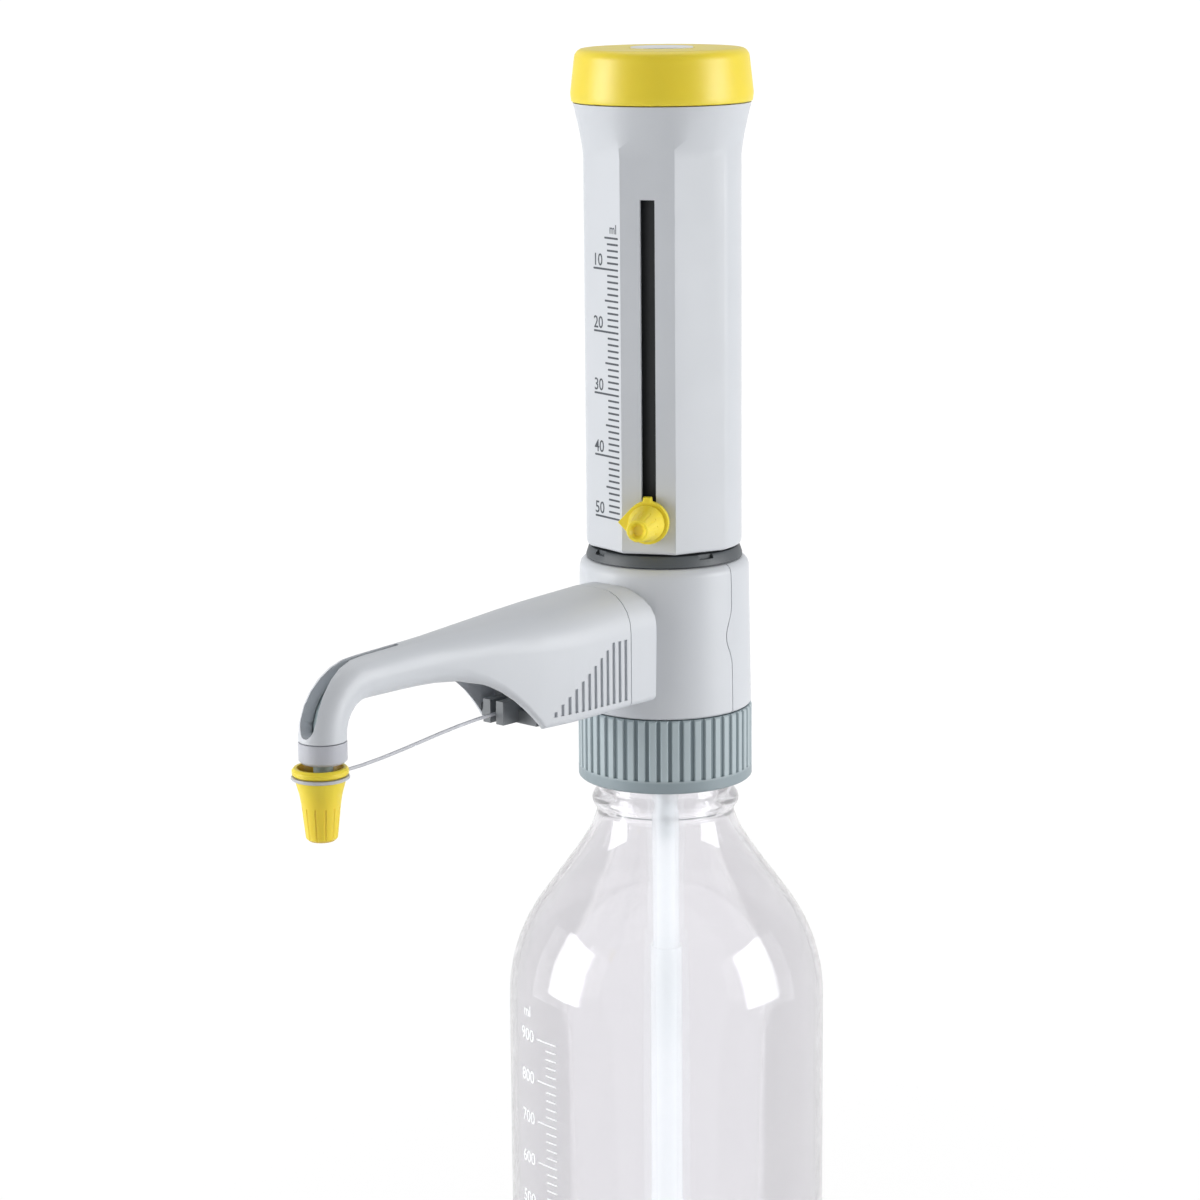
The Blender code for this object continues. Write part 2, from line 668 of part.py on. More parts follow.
def collar_retainer():
    """Flange that the collar clamps on the rim, with a snap neck that the valve block turns on."""
    top = RETAINER_FLANGE_TOP + RETAINER_NECK_HEIGHT
    snap = RETAINER_NECK_RADIUS + RETAINER_BEAD
    profile = [
        (RETAINER_NECK_RADIUS, top),
        (snap, top - 0.0008),
        (snap, top - 0.0014),
        (RETAINER_NECK_RADIUS, top - 0.0022),
        (RETAINER_NECK_RADIUS, RETAINER_FLANGE_TOP),
        (RETAINER_FLANGE_RADIUS, RETAINER_FLANGE_TOP),
        (RETAINER_FLANGE_RADIUS, RETAINER_BOTTOM),
        (RETAINER_BORE, RETAINER_BOTTOM),
        (RETAINER_BORE, top),
    ]
    finish(turned("collar_retainer", profile, SMALL_ROUND), "pale_plastic")


def threaded_collar():
    """Ribbed screw collar for the bottle's neck. Its thread room is left plain."""
    inner = NECK_RADIUS + COLLAR_THREAD_ROOM
    neck_hole = RETAINER_NECK_RADIUS + RUN
    profile = [
        (COLLAR_SPIGOT_RADIUS, COLLAR_INNER_TOP),
        (COLLAR_SPIGOT_RADIUS, COLLAR_SHOULDER),
        (COLLAR_RADIUS - COLLAR_EDGE, COLLAR_SHOULDER),
        (COLLAR_RADIUS, COLLAR_SHOULDER - COLLAR_EDGE),
        (COLLAR_RADIUS, COLLAR_BOTTOM + COLLAR_EDGE),
        (COLLAR_RADIUS - COLLAR_EDGE, COLLAR_BOTTOM),
        (inner, COLLAR_BOTTOM),
        (inner, COLLAR_INNER_BOTTOM),
        (neck_hole, COLLAR_INNER_BOTTOM),
        (neck_hole, COLLAR_INNER_TOP),
    ]
    collar = turned("threaded_collar", profile, COLLAR_RIBS)
    bottom = COLLAR_BOTTOM + COLLAR_PLAIN_BAND
    tool = grooves("collar_grooves", COLLAR_RIBS, COLLAR_RADIUS, COLLAR_RIB_DEPTH,
                   bottom, COLLAR_SHOULDER + COLLAR_EDGE)
    finish(cut(collar, tool), "collar_plastic")


def rounded_section(half_width, bottom, top, top_rounding, foot_rounding, pieces=6):
    """Points (width, height) round a box section whose upper and lower corners differ."""
    points = []
    corners = (
        (half_width - top_rounding, top - top_rounding, top_rounding, 0),
        (-half_width + top_rounding, top - top_rounding, top_rounding, 90),
        (-half_width + foot_rounding, bottom + foot_rounding, foot_rounding, 180),
        (half_width - foot_rounding, bottom + foot_rounding, foot_rounding, 270),
    )
    for across, up, radius, start in corners:
        points += arc((across, up), radius, start, start + 90, pieces)
    return points


def boss_section(inset=0.0, foot_inset=0.0):
    """The section of the casing's boss, or one that lies inside it by inset."""
    return rounded_section(
        BOSS_HALF_WIDTH - inset,
        BOSS_FOOT + inset + foot_inset,
        BOSS_TOP - inset,
        BOSS_TOP_ROUNDING - inset,
        max(BOSS_FOOT_ROUNDING - inset, 0.0004),
    )


def seam_x(height):
    """Where the casing's two halves meet at a height: straight, with one soft bulge."""
    offset = height - CASING_BASE - SEAM_BULGE_ABOVE_BASE
    if abs(offset) >= SEAM_BULGE_HALF_HEIGHT:
        return SEAM_X
    return SEAM_X - SEAM_BULGE * (1 + math.cos(math.pi * offset / SEAM_BULGE_HALF_HEIGHT)) / 2


def casing_half_tool(name, side):
    """A thick plate that covers one side of the seam. Side is -1 in front, +1 behind."""
    margin = 0.004
    far = side * (CASING_BOTTOM_RADIUS + BOSS_REACH)
    low = CASING_BASE - margin
    high = CASING_TOP + margin
    first = CASING_BASE + SEAM_BULGE_ABOVE_BASE - SEAM_BULGE_HALF_HEIGHT
    seam = [(seam_x(low) + side * FIT / 2, low)]
    for i in range(13):
        height = first + 2 * SEAM_BULGE_HALF_HEIGHT * i / 12
        seam.append((seam_x(height) + side * FIT / 2, height))
    seam.append((seam_x(high) + side * FIT / 2, high))
    outline = [(far, low)] + seam + [(far, high)]
    tool = plate(name, outline, 4 * CASING_BOTTOM_RADIUS, CUTTERS)
    tool.rotation_euler = (math.pi / 2, 0, 0)
    return tool


def casing_shell(name):
    """Round shell of the valve block, open for the collar below and for the sleeve above."""
    wall = CASING_WALL
    lower_inner = COLLAR_SPIGOT_RADIUS + RUN
    upper_inner = SLEEVE_OUTER + RUN
    rounding_centre = (CASING_TOP_RADIUS - CASING_TOP_ROUNDING, CASING_TOP - CASING_TOP_ROUNDING)
    profile = [(upper_inner, CASING_TOP)]
    profile += list(reversed(arc(rounding_centre, CASING_TOP_ROUNDING, 0, 90, 3)))
    profile += [
        (CASING_BOTTOM_RADIUS, CASING_BASE + CASING_BOTTOM_CHAMFER),
        (CASING_BOTTOM_RADIUS - CASING_BOTTOM_CHAMFER, CASING_BASE),
        (lower_inner, CASING_BASE),
        (lower_inner, CASING_BASE + wall),
        (CASING_BOTTOM_RADIUS - wall, CASING_BASE + wall),
        (CASING_TOP_RADIUS - wall, CASING_TOP - CASING_TOP_ROUNDING),
        (CASING_TOP_RADIUS - wall - 0.001, CASING_TOP - wall),
        (upper_inner, CASING_TOP - wall),
    ]
    return turned(name, profile)


def front_casing():
    """Front shell of the valve block with the hollow boss that the spout plugs on."""
    shell = casing_shell("front_casing")
    inner_face = CASING_TOP_RADIUS - CASING_WALL - 0.003
    boss = loft("boss", [[(-reach, across, up) for across, up in boss_section()]
                         for reach in (inner_face, BOSS_REACH)], CUTTERS)
    hollow = loft("boss_hollow", [[(-reach, across, up) for across, up in boss_section(BOSS_WALL)]
                                  for reach in (inner_face - 0.006, BOSS_REACH + 0.006)], CUTTERS)
    join(shell, boss)
    cut(shell, hollow)
    keep(shell, casing_half_tool("front_half", -1))
    finish(shell, "pale_plastic")


def rear_casing():
    """Rear shell of the valve block, with the hole for the air vent."""
    shell = casing_shell("rear_casing")
    keep(shell, casing_half_tool("rear_half", 1))
    hole = rod_between("vent_hole", (0.006, 0, VENT_HEIGHT), (2 * CASING_BOTTOM_RADIUS, 0, VENT_HEIGHT),
                       VENT_SPIGOT_RADIUS + RUN, group=CUTTERS)
    finish(cut(shell, hole), "pale_plastic")


def valve_core():
    """Valve block core: socket for the retainer, valve bores, spigots and the cylinder's seat."""
    socket = RETAINER_NECK_RADIUS + RUN
    socket_top = RETAINER_FLANGE_TOP + RETAINER_NECK_HEIGHT + FIT
    snap = socket + RETAINER_BEAD
    seat_radius = CYLINDER_OUTER
    profile = [
        (CYLINDER_BORE * 0.85, CORE_TOP),
        (seat_radius, CORE_TOP),
        (seat_radius, CORE_SHOULDER),
        (CORE_RADIUS, CORE_SHOULDER),
        (CORE_RADIUS, CORE_BOTTOM),
        (socket, CORE_BOTTOM),
        (socket, socket_top - 0.0028),
        (snap, socket_top - 0.002),
        (snap, socket_top - 0.0008),
        (socket, socket_top),
        (FILLING_BORE, socket_top),
        (FILLING_BORE, CORE_BOTTOM + FILLING_BORE_DEPTH),
        (CHANNEL_RADIUS, CORE_BOTTOM + FILLING_BORE_DEPTH),
        (CHANNEL_RADIUS, CORE_TOP - 0.004),
    ]
    core = turned("valve_core", profile, SMALL_ROUND)
    inside = CORE_RADIUS - 0.003
    join(core, rod_between("discharge_spigot", (-inside, 0, DISCHARGE_HEIGHT),
                           (-DISCHARGE_SPIGOT_REACH, 0, DISCHARGE_HEIGHT),
                           DISCHARGE_SPIGOT_RADIUS, group=CUTTERS))
    join(core, rod_between("vent_spigot", (inside, 0, VENT_HEIGHT), (VENT_SPIGOT_REACH, 0, VENT_HEIGHT),
                           VENT_SPIGOT_RADIUS, group=CUTTERS))
    bore_end = DISCHARGE_SPIGOT_REACH - DISCHARGE_BORE_DEPTH
    cut(core, rod_between("discharge_bore", (-bore_end, 0, DISCHARGE_HEIGHT),
                          (-DISCHARGE_SPIGOT_REACH - 0.004, 0, DISCHARGE_HEIGHT),
                          DISCHARGE_BORE, group=CUTTERS))
    cut(core, rod_between("cross_channel", (0, 0, DISCHARGE_HEIGHT), (-bore_end - 0.002, 0, DISCHARGE_HEIGHT),
                          CROSS_CHANNEL_RADIUS, 12, CUTTERS))
    vent_x = (FILLING_BORE + RETAINER_BORE) / 2
    cut(core, rod_between("vent_channel", (vent_x, 0, VENT_HEIGHT), (VENT_SPIGOT_REACH + 0.004, 0, VENT_HEIGHT),
                          VENT_CHANNEL_RADIUS, 12, CUTTERS))
    cut(core, rod_between("vent_drop", (vent_x, 0, CORE_BOTTOM - 0.004), (vent_x, 0, VENT_HEIGHT + 0.0007),
                          VENT_CHANNEL_RADIUS * 0.9, 12, CUTTERS))
    finish(core, "milky_polymer")


def air_vent_cap():
    """Ribbed screw cap over the air vent at the back."""
    base = CASING_BOTTOM_RADIUS + FIT
    outer_end = VENT_SPIGOT_REACH + FIT + VENT_CAP_TOP_WALL
    bore = VENT_SPIGOT_RADIUS + RUN
    profile = [
        (0, outer_end),
        (VENT_CAP_RADIUS - 0.0008, outer_end),
        (VENT_CAP_RADIUS, outer_end - 0.0008),
        (VENT_CAP_RADIUS, base),
        (bore, base),
        (bore, VENT_SPIGOT_REACH + FIT),
        (0, VENT_SPIGOT_REACH + FIT),
    ]
    cap = turned("air_vent_cap", profile, 2 * VENT_CAP_RIBS)
    tool = grooves("vent_cap_grooves", VENT_CAP_RIBS, VENT_CAP_RADIUS + 0.0002, 0.0006,
                   base + 0.001, outer_end + 0.001)
    cut(cap, tool)
    for item in (cap, tool):
        item.location = (0, 0, VENT_HEIGHT)
        item.rotation_euler = (0, math.pi / 2, 0)
    finish(cap, "pale_plastic")


def filling_valve():
    """Filling valve body with its olive, and the ball that lies on its seat."""
    seat = VALVE_TOP - 0.0006 - BALL_CHAMBER_HEIGHT
    throat = seat - (BALL_CHAMBER_RADIUS - INLET_RADIUS)
    profile = [
        (BALL_EXIT_RADIUS, VALVE_TOP),
        (FILLING_BORE - RUN, VALVE_TOP),
        (FILLING_BORE - RUN, CORE_BOTTOM + FIT),
        (FILLING_STEM_RADIUS, STEM_TOP),
        (FILLING_STEM_RADIUS, STEM_BOTTOM),
        (OLIVE_RADIUS, STEM_BOTTOM),
        (OLIVE_RADIUS, STEM_BOTTOM - OLIVE_LENGTH + 0.001),
        (OLIVE_RADIUS - 0.0007, STEM_BOTTOM - OLIVE_LENGTH),
        (INLET_RADIUS, STEM_BOTTOM - OLIVE_LENGTH),
        (INLET_RADIUS, throat),
        (BALL_CHAMBER_RADIUS, seat),
        (BALL_CHAMBER_RADIUS, VALVE_TOP - 0.0006),
        (BALL_EXIT_RADIUS, VALVE_TOP - 0.0006),
    ]
    finish(turned("filling_valve_body", profile, SMALL_ROUND), "milky_polymer")
    # The ball touches the 45 degree seat, FIT above it
    centre = throat - INLET_RADIUS + (BALL_RADIUS + FIT) * math.sqrt(2)
    ball("filling_valve_ball", (0, 0, centre), BALL_RADIUS)


def ball(name, place, radius):
    shape = bmesh.new()
    bmesh.ops.create_uvsphere(shape, u_segments=12, v_segments=8, radius=radius)
    item = from_bmesh(name, shape, PART_COLLECTION)
    item.location = place
    finish(item, "ceramic")


def filling_tubes():
    """Filling tube on the olive, and the telescopic tube that slides on it."""
    upper = ring_profile(TUBE_OUTER, TUBE_BORE, UPPER_TUBE_BOTTOM, UPPER_TUBE_TOP)
    finish(turned("filling_tube_upper", upper, SMALL_ROUND), "filling_tube")
    lower = ring_profile(LOWER_TUBE_OUTER, LOWER_TUBE_BORE, LOWER_TUBE_BOTTOM, LOWER_TUBE_TOP)
    tube = turned("filling_tube_lower", lower, SMALL_ROUND)
    reach = 4 * LOWER_TUBE_OUTER
    slant = block("tube_end_slant", (-reach, -reach, -reach), (reach, reach, 0), CUTTERS)
    slant.location = (0, 0, LOWER_TUBE_BOTTOM + LOWER_TUBE_OUTER * math.tan(TUBE_END_SLANT))
    slant.rotation_euler = (0, TUBE_END_SLANT, 0)
    finish(cut(tube, slant), "filling_tube")


def cylinder_group():
    """Seal ring, glass cylinder, dark sleeve round it and the stop ring on the sleeve."""
    seal = ring_profile(CYLINDER_OUTER, CYLINDER_BORE, SEAL_RING_BOTTOM, SEAL_RING_BOTTOM + CYLINDER_SEAL)
    finish(turned("cylinder_seal", seal, SMALL_ROUND), "white_polymer")
    glass = ring_profile(CYLINDER_OUTER, CYLINDER_BORE, CYLINDER_BOTTOM, CYLINDER_TOP)
    finish(turned("dispensing_cylinder", glass), "glass")
    sleeve = ring_profile(SLEEVE_OUTER, SLEEVE_BORE, SLEEVE_BOTTOM, SLEEVE_TOP)
    finish(turned("cylinder_sleeve", sleeve), "dark_plastic")
    stop = ring_profile(HOUSING_CAVITY_RADIUS - 0.0005, SLEEVE_BORE, STOP_BOTTOM, STOP_TOP)
    finish(turned("stop_ring", stop), "dark_plastic")


def safety_ring():
    """Dark ring that locks the cylinder in the valve block, with notches for its key."""
    top = SAFETY_RING_BOTTOM + SAFETY_RING_HEIGHT
    profile = [
        (SAFETY_RING_RADIUS - 0.0006, top),
        (SAFETY_RING_RADIUS, top - 0.0006),
        (SAFETY_RING_FOOT_RADIUS, SAFETY_RING_BOTTOM + SAFETY_RING_FOOT_HEIGHT),
        (SAFETY_RING_FOOT_RADIUS, SAFETY_RING_BOTTOM),
        (SLEEVE_OUTER + RUN, SAFETY_RING_BOTTOM),
        (SLEEVE_OUTER + RUN, top),
    ]
    ring = turned("safety_ring", profile)
    shape = bmesh.new()
    for i in range(SAFETY_RING_KEYS):
        angle = FACET_AZIMUTH + math.tau * (i + 0.5) / SAFETY_RING_KEYS
        place = (
            Matrix.Rotation(angle, 4, "Z")
            @ Matrix.Translation((SAFETY_RING_RADIUS, 0, top))
            @ Matrix.Diagonal((0.0024, 0.005, 0.0026, 1.0))
        )
        bmesh.ops.create_cube(shape, size=1.0, matrix=place)
    finish(cut(ring, from_bmesh("key_notches", shape, CUTTERS)), "dark_plastic")


def facet_angles():
    """Azimuths of the housing's points: every facet edge is one of them."""
    facet_steps = 4
    front = [FACET_AZIMUTH + FACET_HALF_ANGLE * (2 * i / facet_steps - 3) for i in range(3 * facet_steps)]
    first = FACET_AZIMUTH + 3 * FACET_HALF_ANGLE
    rest = math.tau - 6 * FACET_HALF_ANGLE
    back_steps = 28
    return front + [first + rest * i / back_steps for i in range(back_steps)]


def housing_ring(height, radius, flatness):
    """One ring of the housing: round behind, with three facets in front where flatness is 1."""
    points = []
    for angle in facet_angles():
        offset = (angle - FACET_AZIMUTH + math.pi) % math.tau - math.pi
        reach = radius
        if abs(offset) < 3 * FACET_HALF_ANGLE:
            facet = round(offset / (2 * FACET_HALF_ANGLE))
            from_middle = offset - facet * 2 * FACET_HALF_ANGLE
            flat = radius * math.cos(FACET_HALF_ANGLE) / math.cos(from_middle)
            reach = radius + flatness * (flat - radius)
        points.append((reach * math.cos(angle), reach * math.sin(angle), height))
    return points


def housing():
    """Tall sleeve that lifts with the piston: faceted front, flared top, slot and inner bulkhead."""
    straight_top = HOUSING_TOP - FLARE_HEIGHT
    rings = [
        housing_ring(HOUSING_BOTTOM, HOUSING_RADIUS - HOUSING_EDGE, 1),
        housing_ring(HOUSING_BOTTOM + HOUSING_EDGE * 0.3, HOUSING_RADIUS - HOUSING_EDGE * 0.3, 1),
        housing_ring(HOUSING_BOTTOM + HOUSING_EDGE, HOUSING_RADIUS, 1),
        housing_ring(straight_top - 0.002, HOUSING_RADIUS, 1),
    ]
    flare_steps = 5
    for i in range(1, flare_steps + 1):
        share = i / flare_steps
        radius = HOUSING_RADIUS + (FLARE_RADIUS - HOUSING_RADIUS) * share ** 1.3
        rings.append(housing_ring(straight_top - 0.002 + (FLARE_HEIGHT + 0.002) * share, radius, 1 - share))
    body = loft("housing", rings)
    cavity = turned("housing_cavity", rod_profile(HOUSING_CAVITY_RADIUS, HOUSING_BOTTOM - 0.01, CAVITY_TOP),
                    group=CUTTERS)
    cut(body, cavity)
    mouth_radius = FLARE_RADIUS - HOUSING_MOUTH_WALL
    mouth_profile = [
        (0, HOUSING_TOP + 0.01),
        (mouth_radius, HOUSING_TOP + 0.01),
        (mouth_radius, HOUSING_TOP - CAP_SPIGOT_DEPTH - FIT),
        (HOUSING_MOUTH_FOOT_RADIUS, BULKHEAD_TOP),
        (0, BULKHEAD_TOP),
    ]
    cut(body, turned("housing_mouth", mouth_profile, group=CUTTERS))
    cut(body, rod_between("rod_hole", (0, 0, CAVITY_TOP - 0.004), (0, 0, BULKHEAD_TOP + 0.004),
                          ROD_RADIUS + RUN, group=CUTTERS))
    cut(body, slot_tool())
    finish(body, "pale_plastic")


def slot_tool():
    """Cutter for the pointer's slot, with square ends."""
    half = SLOT_WIDTH / 2
    low = POINTER_HEIGHT - half
    high = POINTER_HEIGHT + STROKE + half
    outline = [(-half, low), (half, low), (half, high), (-half, high)]
    tool = plate("slot_cutter", outline, 0.012, CUTTERS)
    turn = Matrix.Rotation(FACET_AZIMUTH + math.pi / 2, 4, "Z") @ Matrix.Rotation(math.pi / 2, 4, "X")
    place = Matrix.Translation((FACET_APOTHEM * math.cos(FACET_AZIMUTH),
                                FACET_APOTHEM * math.sin(FACET_AZIMUTH), 0))
    tool.matrix_world = place @ turn
    return tool


def piston_group():
    """Rod through the bulkhead, its nut, the piston and the piston's seal."""
    flange_top = CAVITY_TOP - FIT
    rod = [
        (0, NUT_TOP + 0.0005),
        (ROD_RADIUS, NUT_TOP + 0.0005),
        (ROD_RADIUS, flange_top),
        (ROD_FLANGE_RADIUS, flange_top),
        (ROD_FLANGE_RADIUS, flange_top - ROD_FLANGE_HEIGHT),
        (ROD_RADIUS, flange_top - ROD_FLANGE_HEIGHT),
        (ROD_RADIUS, ROD_BOTTOM),
        (0, ROD_BOTTOM),
    ]
    finish(turned("piston_rod", rod, SMALL_ROUND), "milky_polymer")
    piston_radius = CYLINDER_BORE - PISTON_CLEARANCE
    groove_top = PISTON_BOTTOM + 2 * PISTON_SEAL_HEIGHT
    groove = piston_radius - PISTON_SEAL_DEPTH
    socket = ROD_RADIUS + FIT
    piston = [
        (socket, PISTON_TOP),
        (piston_radius, PISTON_TOP),
        (piston_radius, groove_top),
        (groove, groove_top),
        (groove, groove_top - PISTON_SEAL_HEIGHT),
        (piston_radius, groove_top - PISTON_SEAL_HEIGHT),
        (piston_radius, PISTON_BOTTOM + 0.001),
        (piston_radius - 0.001, PISTON_BOTTOM),
        (0, PISTON_BOTTOM),
    ]
    inner = [(0, ROD_BOTTOM - FIT), (socket, ROD_BOTTOM - FIT)]
    finish(turned("piston", inner + piston, SMALL_ROUND), "white_polymer")
    seal_outer = CYLINDER_BORE - 0.0001
    seal = ring_profile(seal_outer, groove + FIT, groove_top - PISTON_SEAL_HEIGHT + FIT, groove_top - FIT)
    finish(turned("piston_seal", seal, SMALL_ROUND), "milky_polymer")
    nut_shape = bmesh.new()
    bmesh.ops.create_cone(nut_shape, cap_ends=True, segments=NUT_SIDES, radius1=NUT_RADIUS,
                          radius2=NUT_RADIUS, depth=NUT_HEIGHT)
    nut = from_bmesh("calibration_nut", nut_shape, PART_COLLECTION)
    nut.location = (0, 0, (NUT_BOTTOM + NUT_TOP) / 2)
    cut(nut, rod_between("nut_hole", (0, 0, NUT_BOTTOM - 0.004), (0, 0, NUT_TOP + 0.004),
                         ROD_RADIUS + FIT, group=CUTTERS))
    finish(nut, "steel")


def top_cap():
    """Yellow cap with a pale disc let into its top."""
    mouth = FLARE_RADIUS - HOUSING_MOUTH_WALL - RUN
    rounding_centre = (CAP_TOP_RADIUS - CAP_ROUNDING, CAP_TOP - CAP_ROUNDING)
    recess = DISC_RADIUS + FIT
    recess_floor = CAP_TOP + DISC_STAND - DISC_HEIGHT - FIT
    profile = [(0, recess_floor), (recess, recess_floor), (recess, CAP_TOP)]
    profile += list(reversed(arc(rounding_centre, CAP_ROUNDING, 0, 90, 4)))
    profile += [
        (CAP_WIDEST_RADIUS, CAP_BOTTOM + 0.0026),
        (CAP_SKIRT_RADIUS, CAP_BOTTOM),
        (mouth, CAP_BOTTOM),
        (mouth, CAP_BOTTOM - CAP_SPIGOT_DEPTH),
        (mouth - CAP_SPIGOT_WALL, CAP_BOTTOM - CAP_SPIGOT_DEPTH),
        (mouth - CAP_SPIGOT_WALL, CAP_TOP - CAP_WALL),
        (0, CAP_TOP - CAP_WALL),
    ]
    finish(turned("top_cap", profile), "yellow_plastic")
    disc = rod_profile(DISC_RADIUS, CAP_TOP + DISC_STAND - DISC_HEIGHT, CAP_TOP + DISC_STAND)
    finish(turned("cap_disc", disc), "white_polymer")


def pointer_outline():
    """Round disc with a beak towards the scale and a small tab on top, seen from the front."""
    tangent = math.acos(POINTER_DISC_RADIUS / POINTER_REACH)
    beak = [(-POINTER_REACH, 0.0)]
    tab_angle = math.degrees(math.asin(POINTER_TAB_WIDTH / 2 / POINTER_DISC_RADIUS))
    tangent = math.degrees(tangent)
    first = arc((0, 0), POINTER_DISC_RADIUS, 180 + tangent, 450 - tab_angle, 16)
    tab = [(POINTER_TAB_WIDTH / 2, POINTER_TAB_REACH), (-POINTER_TAB_WIDTH / 2, POINTER_TAB_REACH)]
    second = arc((0, 0), POINTER_DISC_RADIUS, 90 + tab_angle, 180 - tangent, 3)
    return beak + first + tab + second


def volume_pointer():
    """Pointer on the scale, the block behind the slot and the thumb screw that clamps them.

    In their frame X points out of the facet, Y runs away from the scale and Z is up.
    """
    place = (FACET_APOTHEM * math.cos(FACET_AZIMUTH), FACET_APOTHEM * math.sin(FACET_AZIMUTH), POINTER_HEIGHT)
    frame = joint_frame("pointer_frame", place, FACET_AZIMUTH)
    disc = plate("volume_pointer", pointer_outline(), POINTER_DISC_HEIGHT)
    disc.matrix_world = (
        Matrix.Translation((FIT + POINTER_DISC_HEIGHT / 2, 0, 0))
        @ Matrix.Rotation(math.pi / 2, 4, "Z")
        @ Matrix.Rotation(math.pi / 2, 4, "X")
    )
    disc.data.transform(disc.matrix_world)
    disc.matrix_world = Matrix.Identity(4)
    block_front = HOUSING_CAVITY_RADIUS - 0.0008 - FACET_APOTHEM
    block_back = SLEEVE_OUTER + RUN + 0.0001 - FACET_APOTHEM
    stem = rod_between("pointer_stem", (block_front + FIT, 0, 0), (FIT + POINTER_DISC_HEIGHT / 2, 0, 0),
                       POINTER_STEM_RADIUS, 16, CUTTERS)
    screw_hole = rod_between("pointer_screw_hole", (-0.01, 0, 0), (0.01, 0, 0), SCREW_RADIUS + RUN, 12, CUTTERS)
    join(disc, stem)
    cut(disc, screw_hole)
    half_width = POINTER_BLOCK_WIDTH / 2
    half_height = POINTER_BLOCK_HEIGHT / 2
    back_block = block("pointer_block", (block_back, -half_width, -half_height),
                       (block_front, half_width, half_height))
    cut(back_block, screw_hole)
    knob = thumb_screw(block_back + 0.0004)
    for item in (stem, screw_hole):
        item.parent = frame
    finish(disc, "yellow_plastic", frame)
    finish(back_block, "dark_plastic", frame)
    finish(knob, "yellow_plastic", frame)


def thumb_screw(shank_end):
    """Ribbed cone with a dimple in its end and a thin shank, along the frame's X."""
    foot = 2 * FIT + POINTER_DISC_HEIGHT
    end = foot + KNOB_LENGTH
    profile = [
        (0, end - KNOB_DIMPLE_DEPTH),
        (KNOB_DIMPLE_RADIUS * 0.6, end - KNOB_DIMPLE_DEPTH),
        (KNOB_DIMPLE_RADIUS, end),
        (KNOB_TIP_RADIUS - 0.0004, end),
        (KNOB_TIP_RADIUS, end - 0.0006),
        (KNOB_WAIST_RADIUS, foot + KNOB_LENGTH * 0.32),
        (KNOB_FOOT_RADIUS, foot + KNOB_LENGTH * 0.12),
        (KNOB_FOOT_RADIUS, foot),
        (SCREW_RADIUS, foot),
        (SCREW_RADIUS, shank_end),
        (0, shank_end),
    ]
    knob = turned("pointer_knob", profile, 2 * KNOB_RIBS)
    knob.rotation_euler = (0, math.pi / 2, 0)
    run = KNOB_LENGTH * 0.68
    lean = -math.atan((KNOB_WAIST_RADIUS - KNOB_TIP_RADIUS) / run)
    middle = (KNOB_WAIST_RADIUS + KNOB_TIP_RADIUS) / 2 + 0.0001
    tool = grooves("knob_grooves", KNOB_RIBS, middle, KNOB_RIB_DEPTH,
                   foot + KNOB_LENGTH * 0.36, end + 0.0014, lean)
    tool.rotation_euler = knob.rotation_euler
    tool.parent = bpy.data.objects["pointer_frame"]
    return cut(knob, tool)


def along_spout(item):
    """Turn a piece made round Z so that its Z runs along the spout, at the valve's height."""
    item.location = (0, 0, DISCHARGE_HEIGHT)
    item.rotation_euler = (0, -math.pi / 2, 0)
    return item


def discharge_coupling():
    """Plug of the discharge valve, its ring seal and the ball inside. Heights run along -X."""
    flange = COUPLING_FLANGE_START
    flange_end = flange + COUPLING_FLANGE_HEIGHT
    plug_start = flange - COUPLING_PLUG_LENGTH
    plug = DISCHARGE_BORE - RUN
    groove_start = plug_start + 0.003
    groove_end = groove_start + COUPLING_SEAL_WIDTH + 2 * FIT
    groove = plug - 0.001
    chamber_start = plug_start + 0.0032
    chamber_end = chamber_start + DISCHARGE_CHAMBER_LENGTH
    throat = DISCHARGE_CHAMBER_RADIUS - COUPLING_CHANNEL
    profile = [
        (COUPLING_CHANNEL, COUPLING_END),
        (COUPLING_NOSE_RADIUS, COUPLING_END),
        (COUPLING_NOSE_RADIUS, flange_end),
        (COUPLING_FLANGE_RADIUS, flange_end),
        (COUPLING_FLANGE_RADIUS, flange),
        (plug, flange),
        (plug, groove_end),
        (groove, groove_end),
        (groove, groove_start),
        (plug, groove_start),
        (plug, plug_start),
        (COUPLING_CHANNEL, plug_start),
        (COUPLING_CHANNEL, chamber_start),
        (DISCHARGE_CHAMBER_RADIUS, chamber_start + throat),
        (DISCHARGE_CHAMBER_RADIUS, chamber_end),
        (COUPLING_CHANNEL, chamber_end),
    ]
    finish(along_spout(turned("discharge_coupling", profile, SMALL_ROUND)), "milky_polymer")
    seal = ring_profile(plug + RUN / 2, groove + FIT, groove_start + FIT, groove_end - FIT)
    finish(along_spout(turned("coupling_seal", seal, SMALL_ROUND)), "dark_plastic")
    centre = chamber_start - COUPLING_CHANNEL + (DISCHARGE_BALL_RADIUS + FIT) * math.sqrt(2)
    ball("discharge_valve_ball", (-centre, 0, DISCHARGE_HEIGHT), DISCHARGE_BALL_RADIUS)


def ease(value, start, end):
    """0 before start, 1 after end, smooth between."""
    share = min(max((value - start) / (end - start), 0.0), 1.0)
    return share * share * (3 - 2 * share)


def mix(first, second, share):
    return first + (second - first) * share


def spout_half_width(reach):
    return mix(BOSS_HALF_WIDTH, ARM_RADIUS, ease(reach, GRIP_TAPER_START, ARM_START))


def spout_top(reach):
    share = (reach - SPOUT_START) / (BEND_START - SPOUT_START)
    return mix(BOSS_TOP, ARM_HEIGHT + ARM_RADIUS, share)


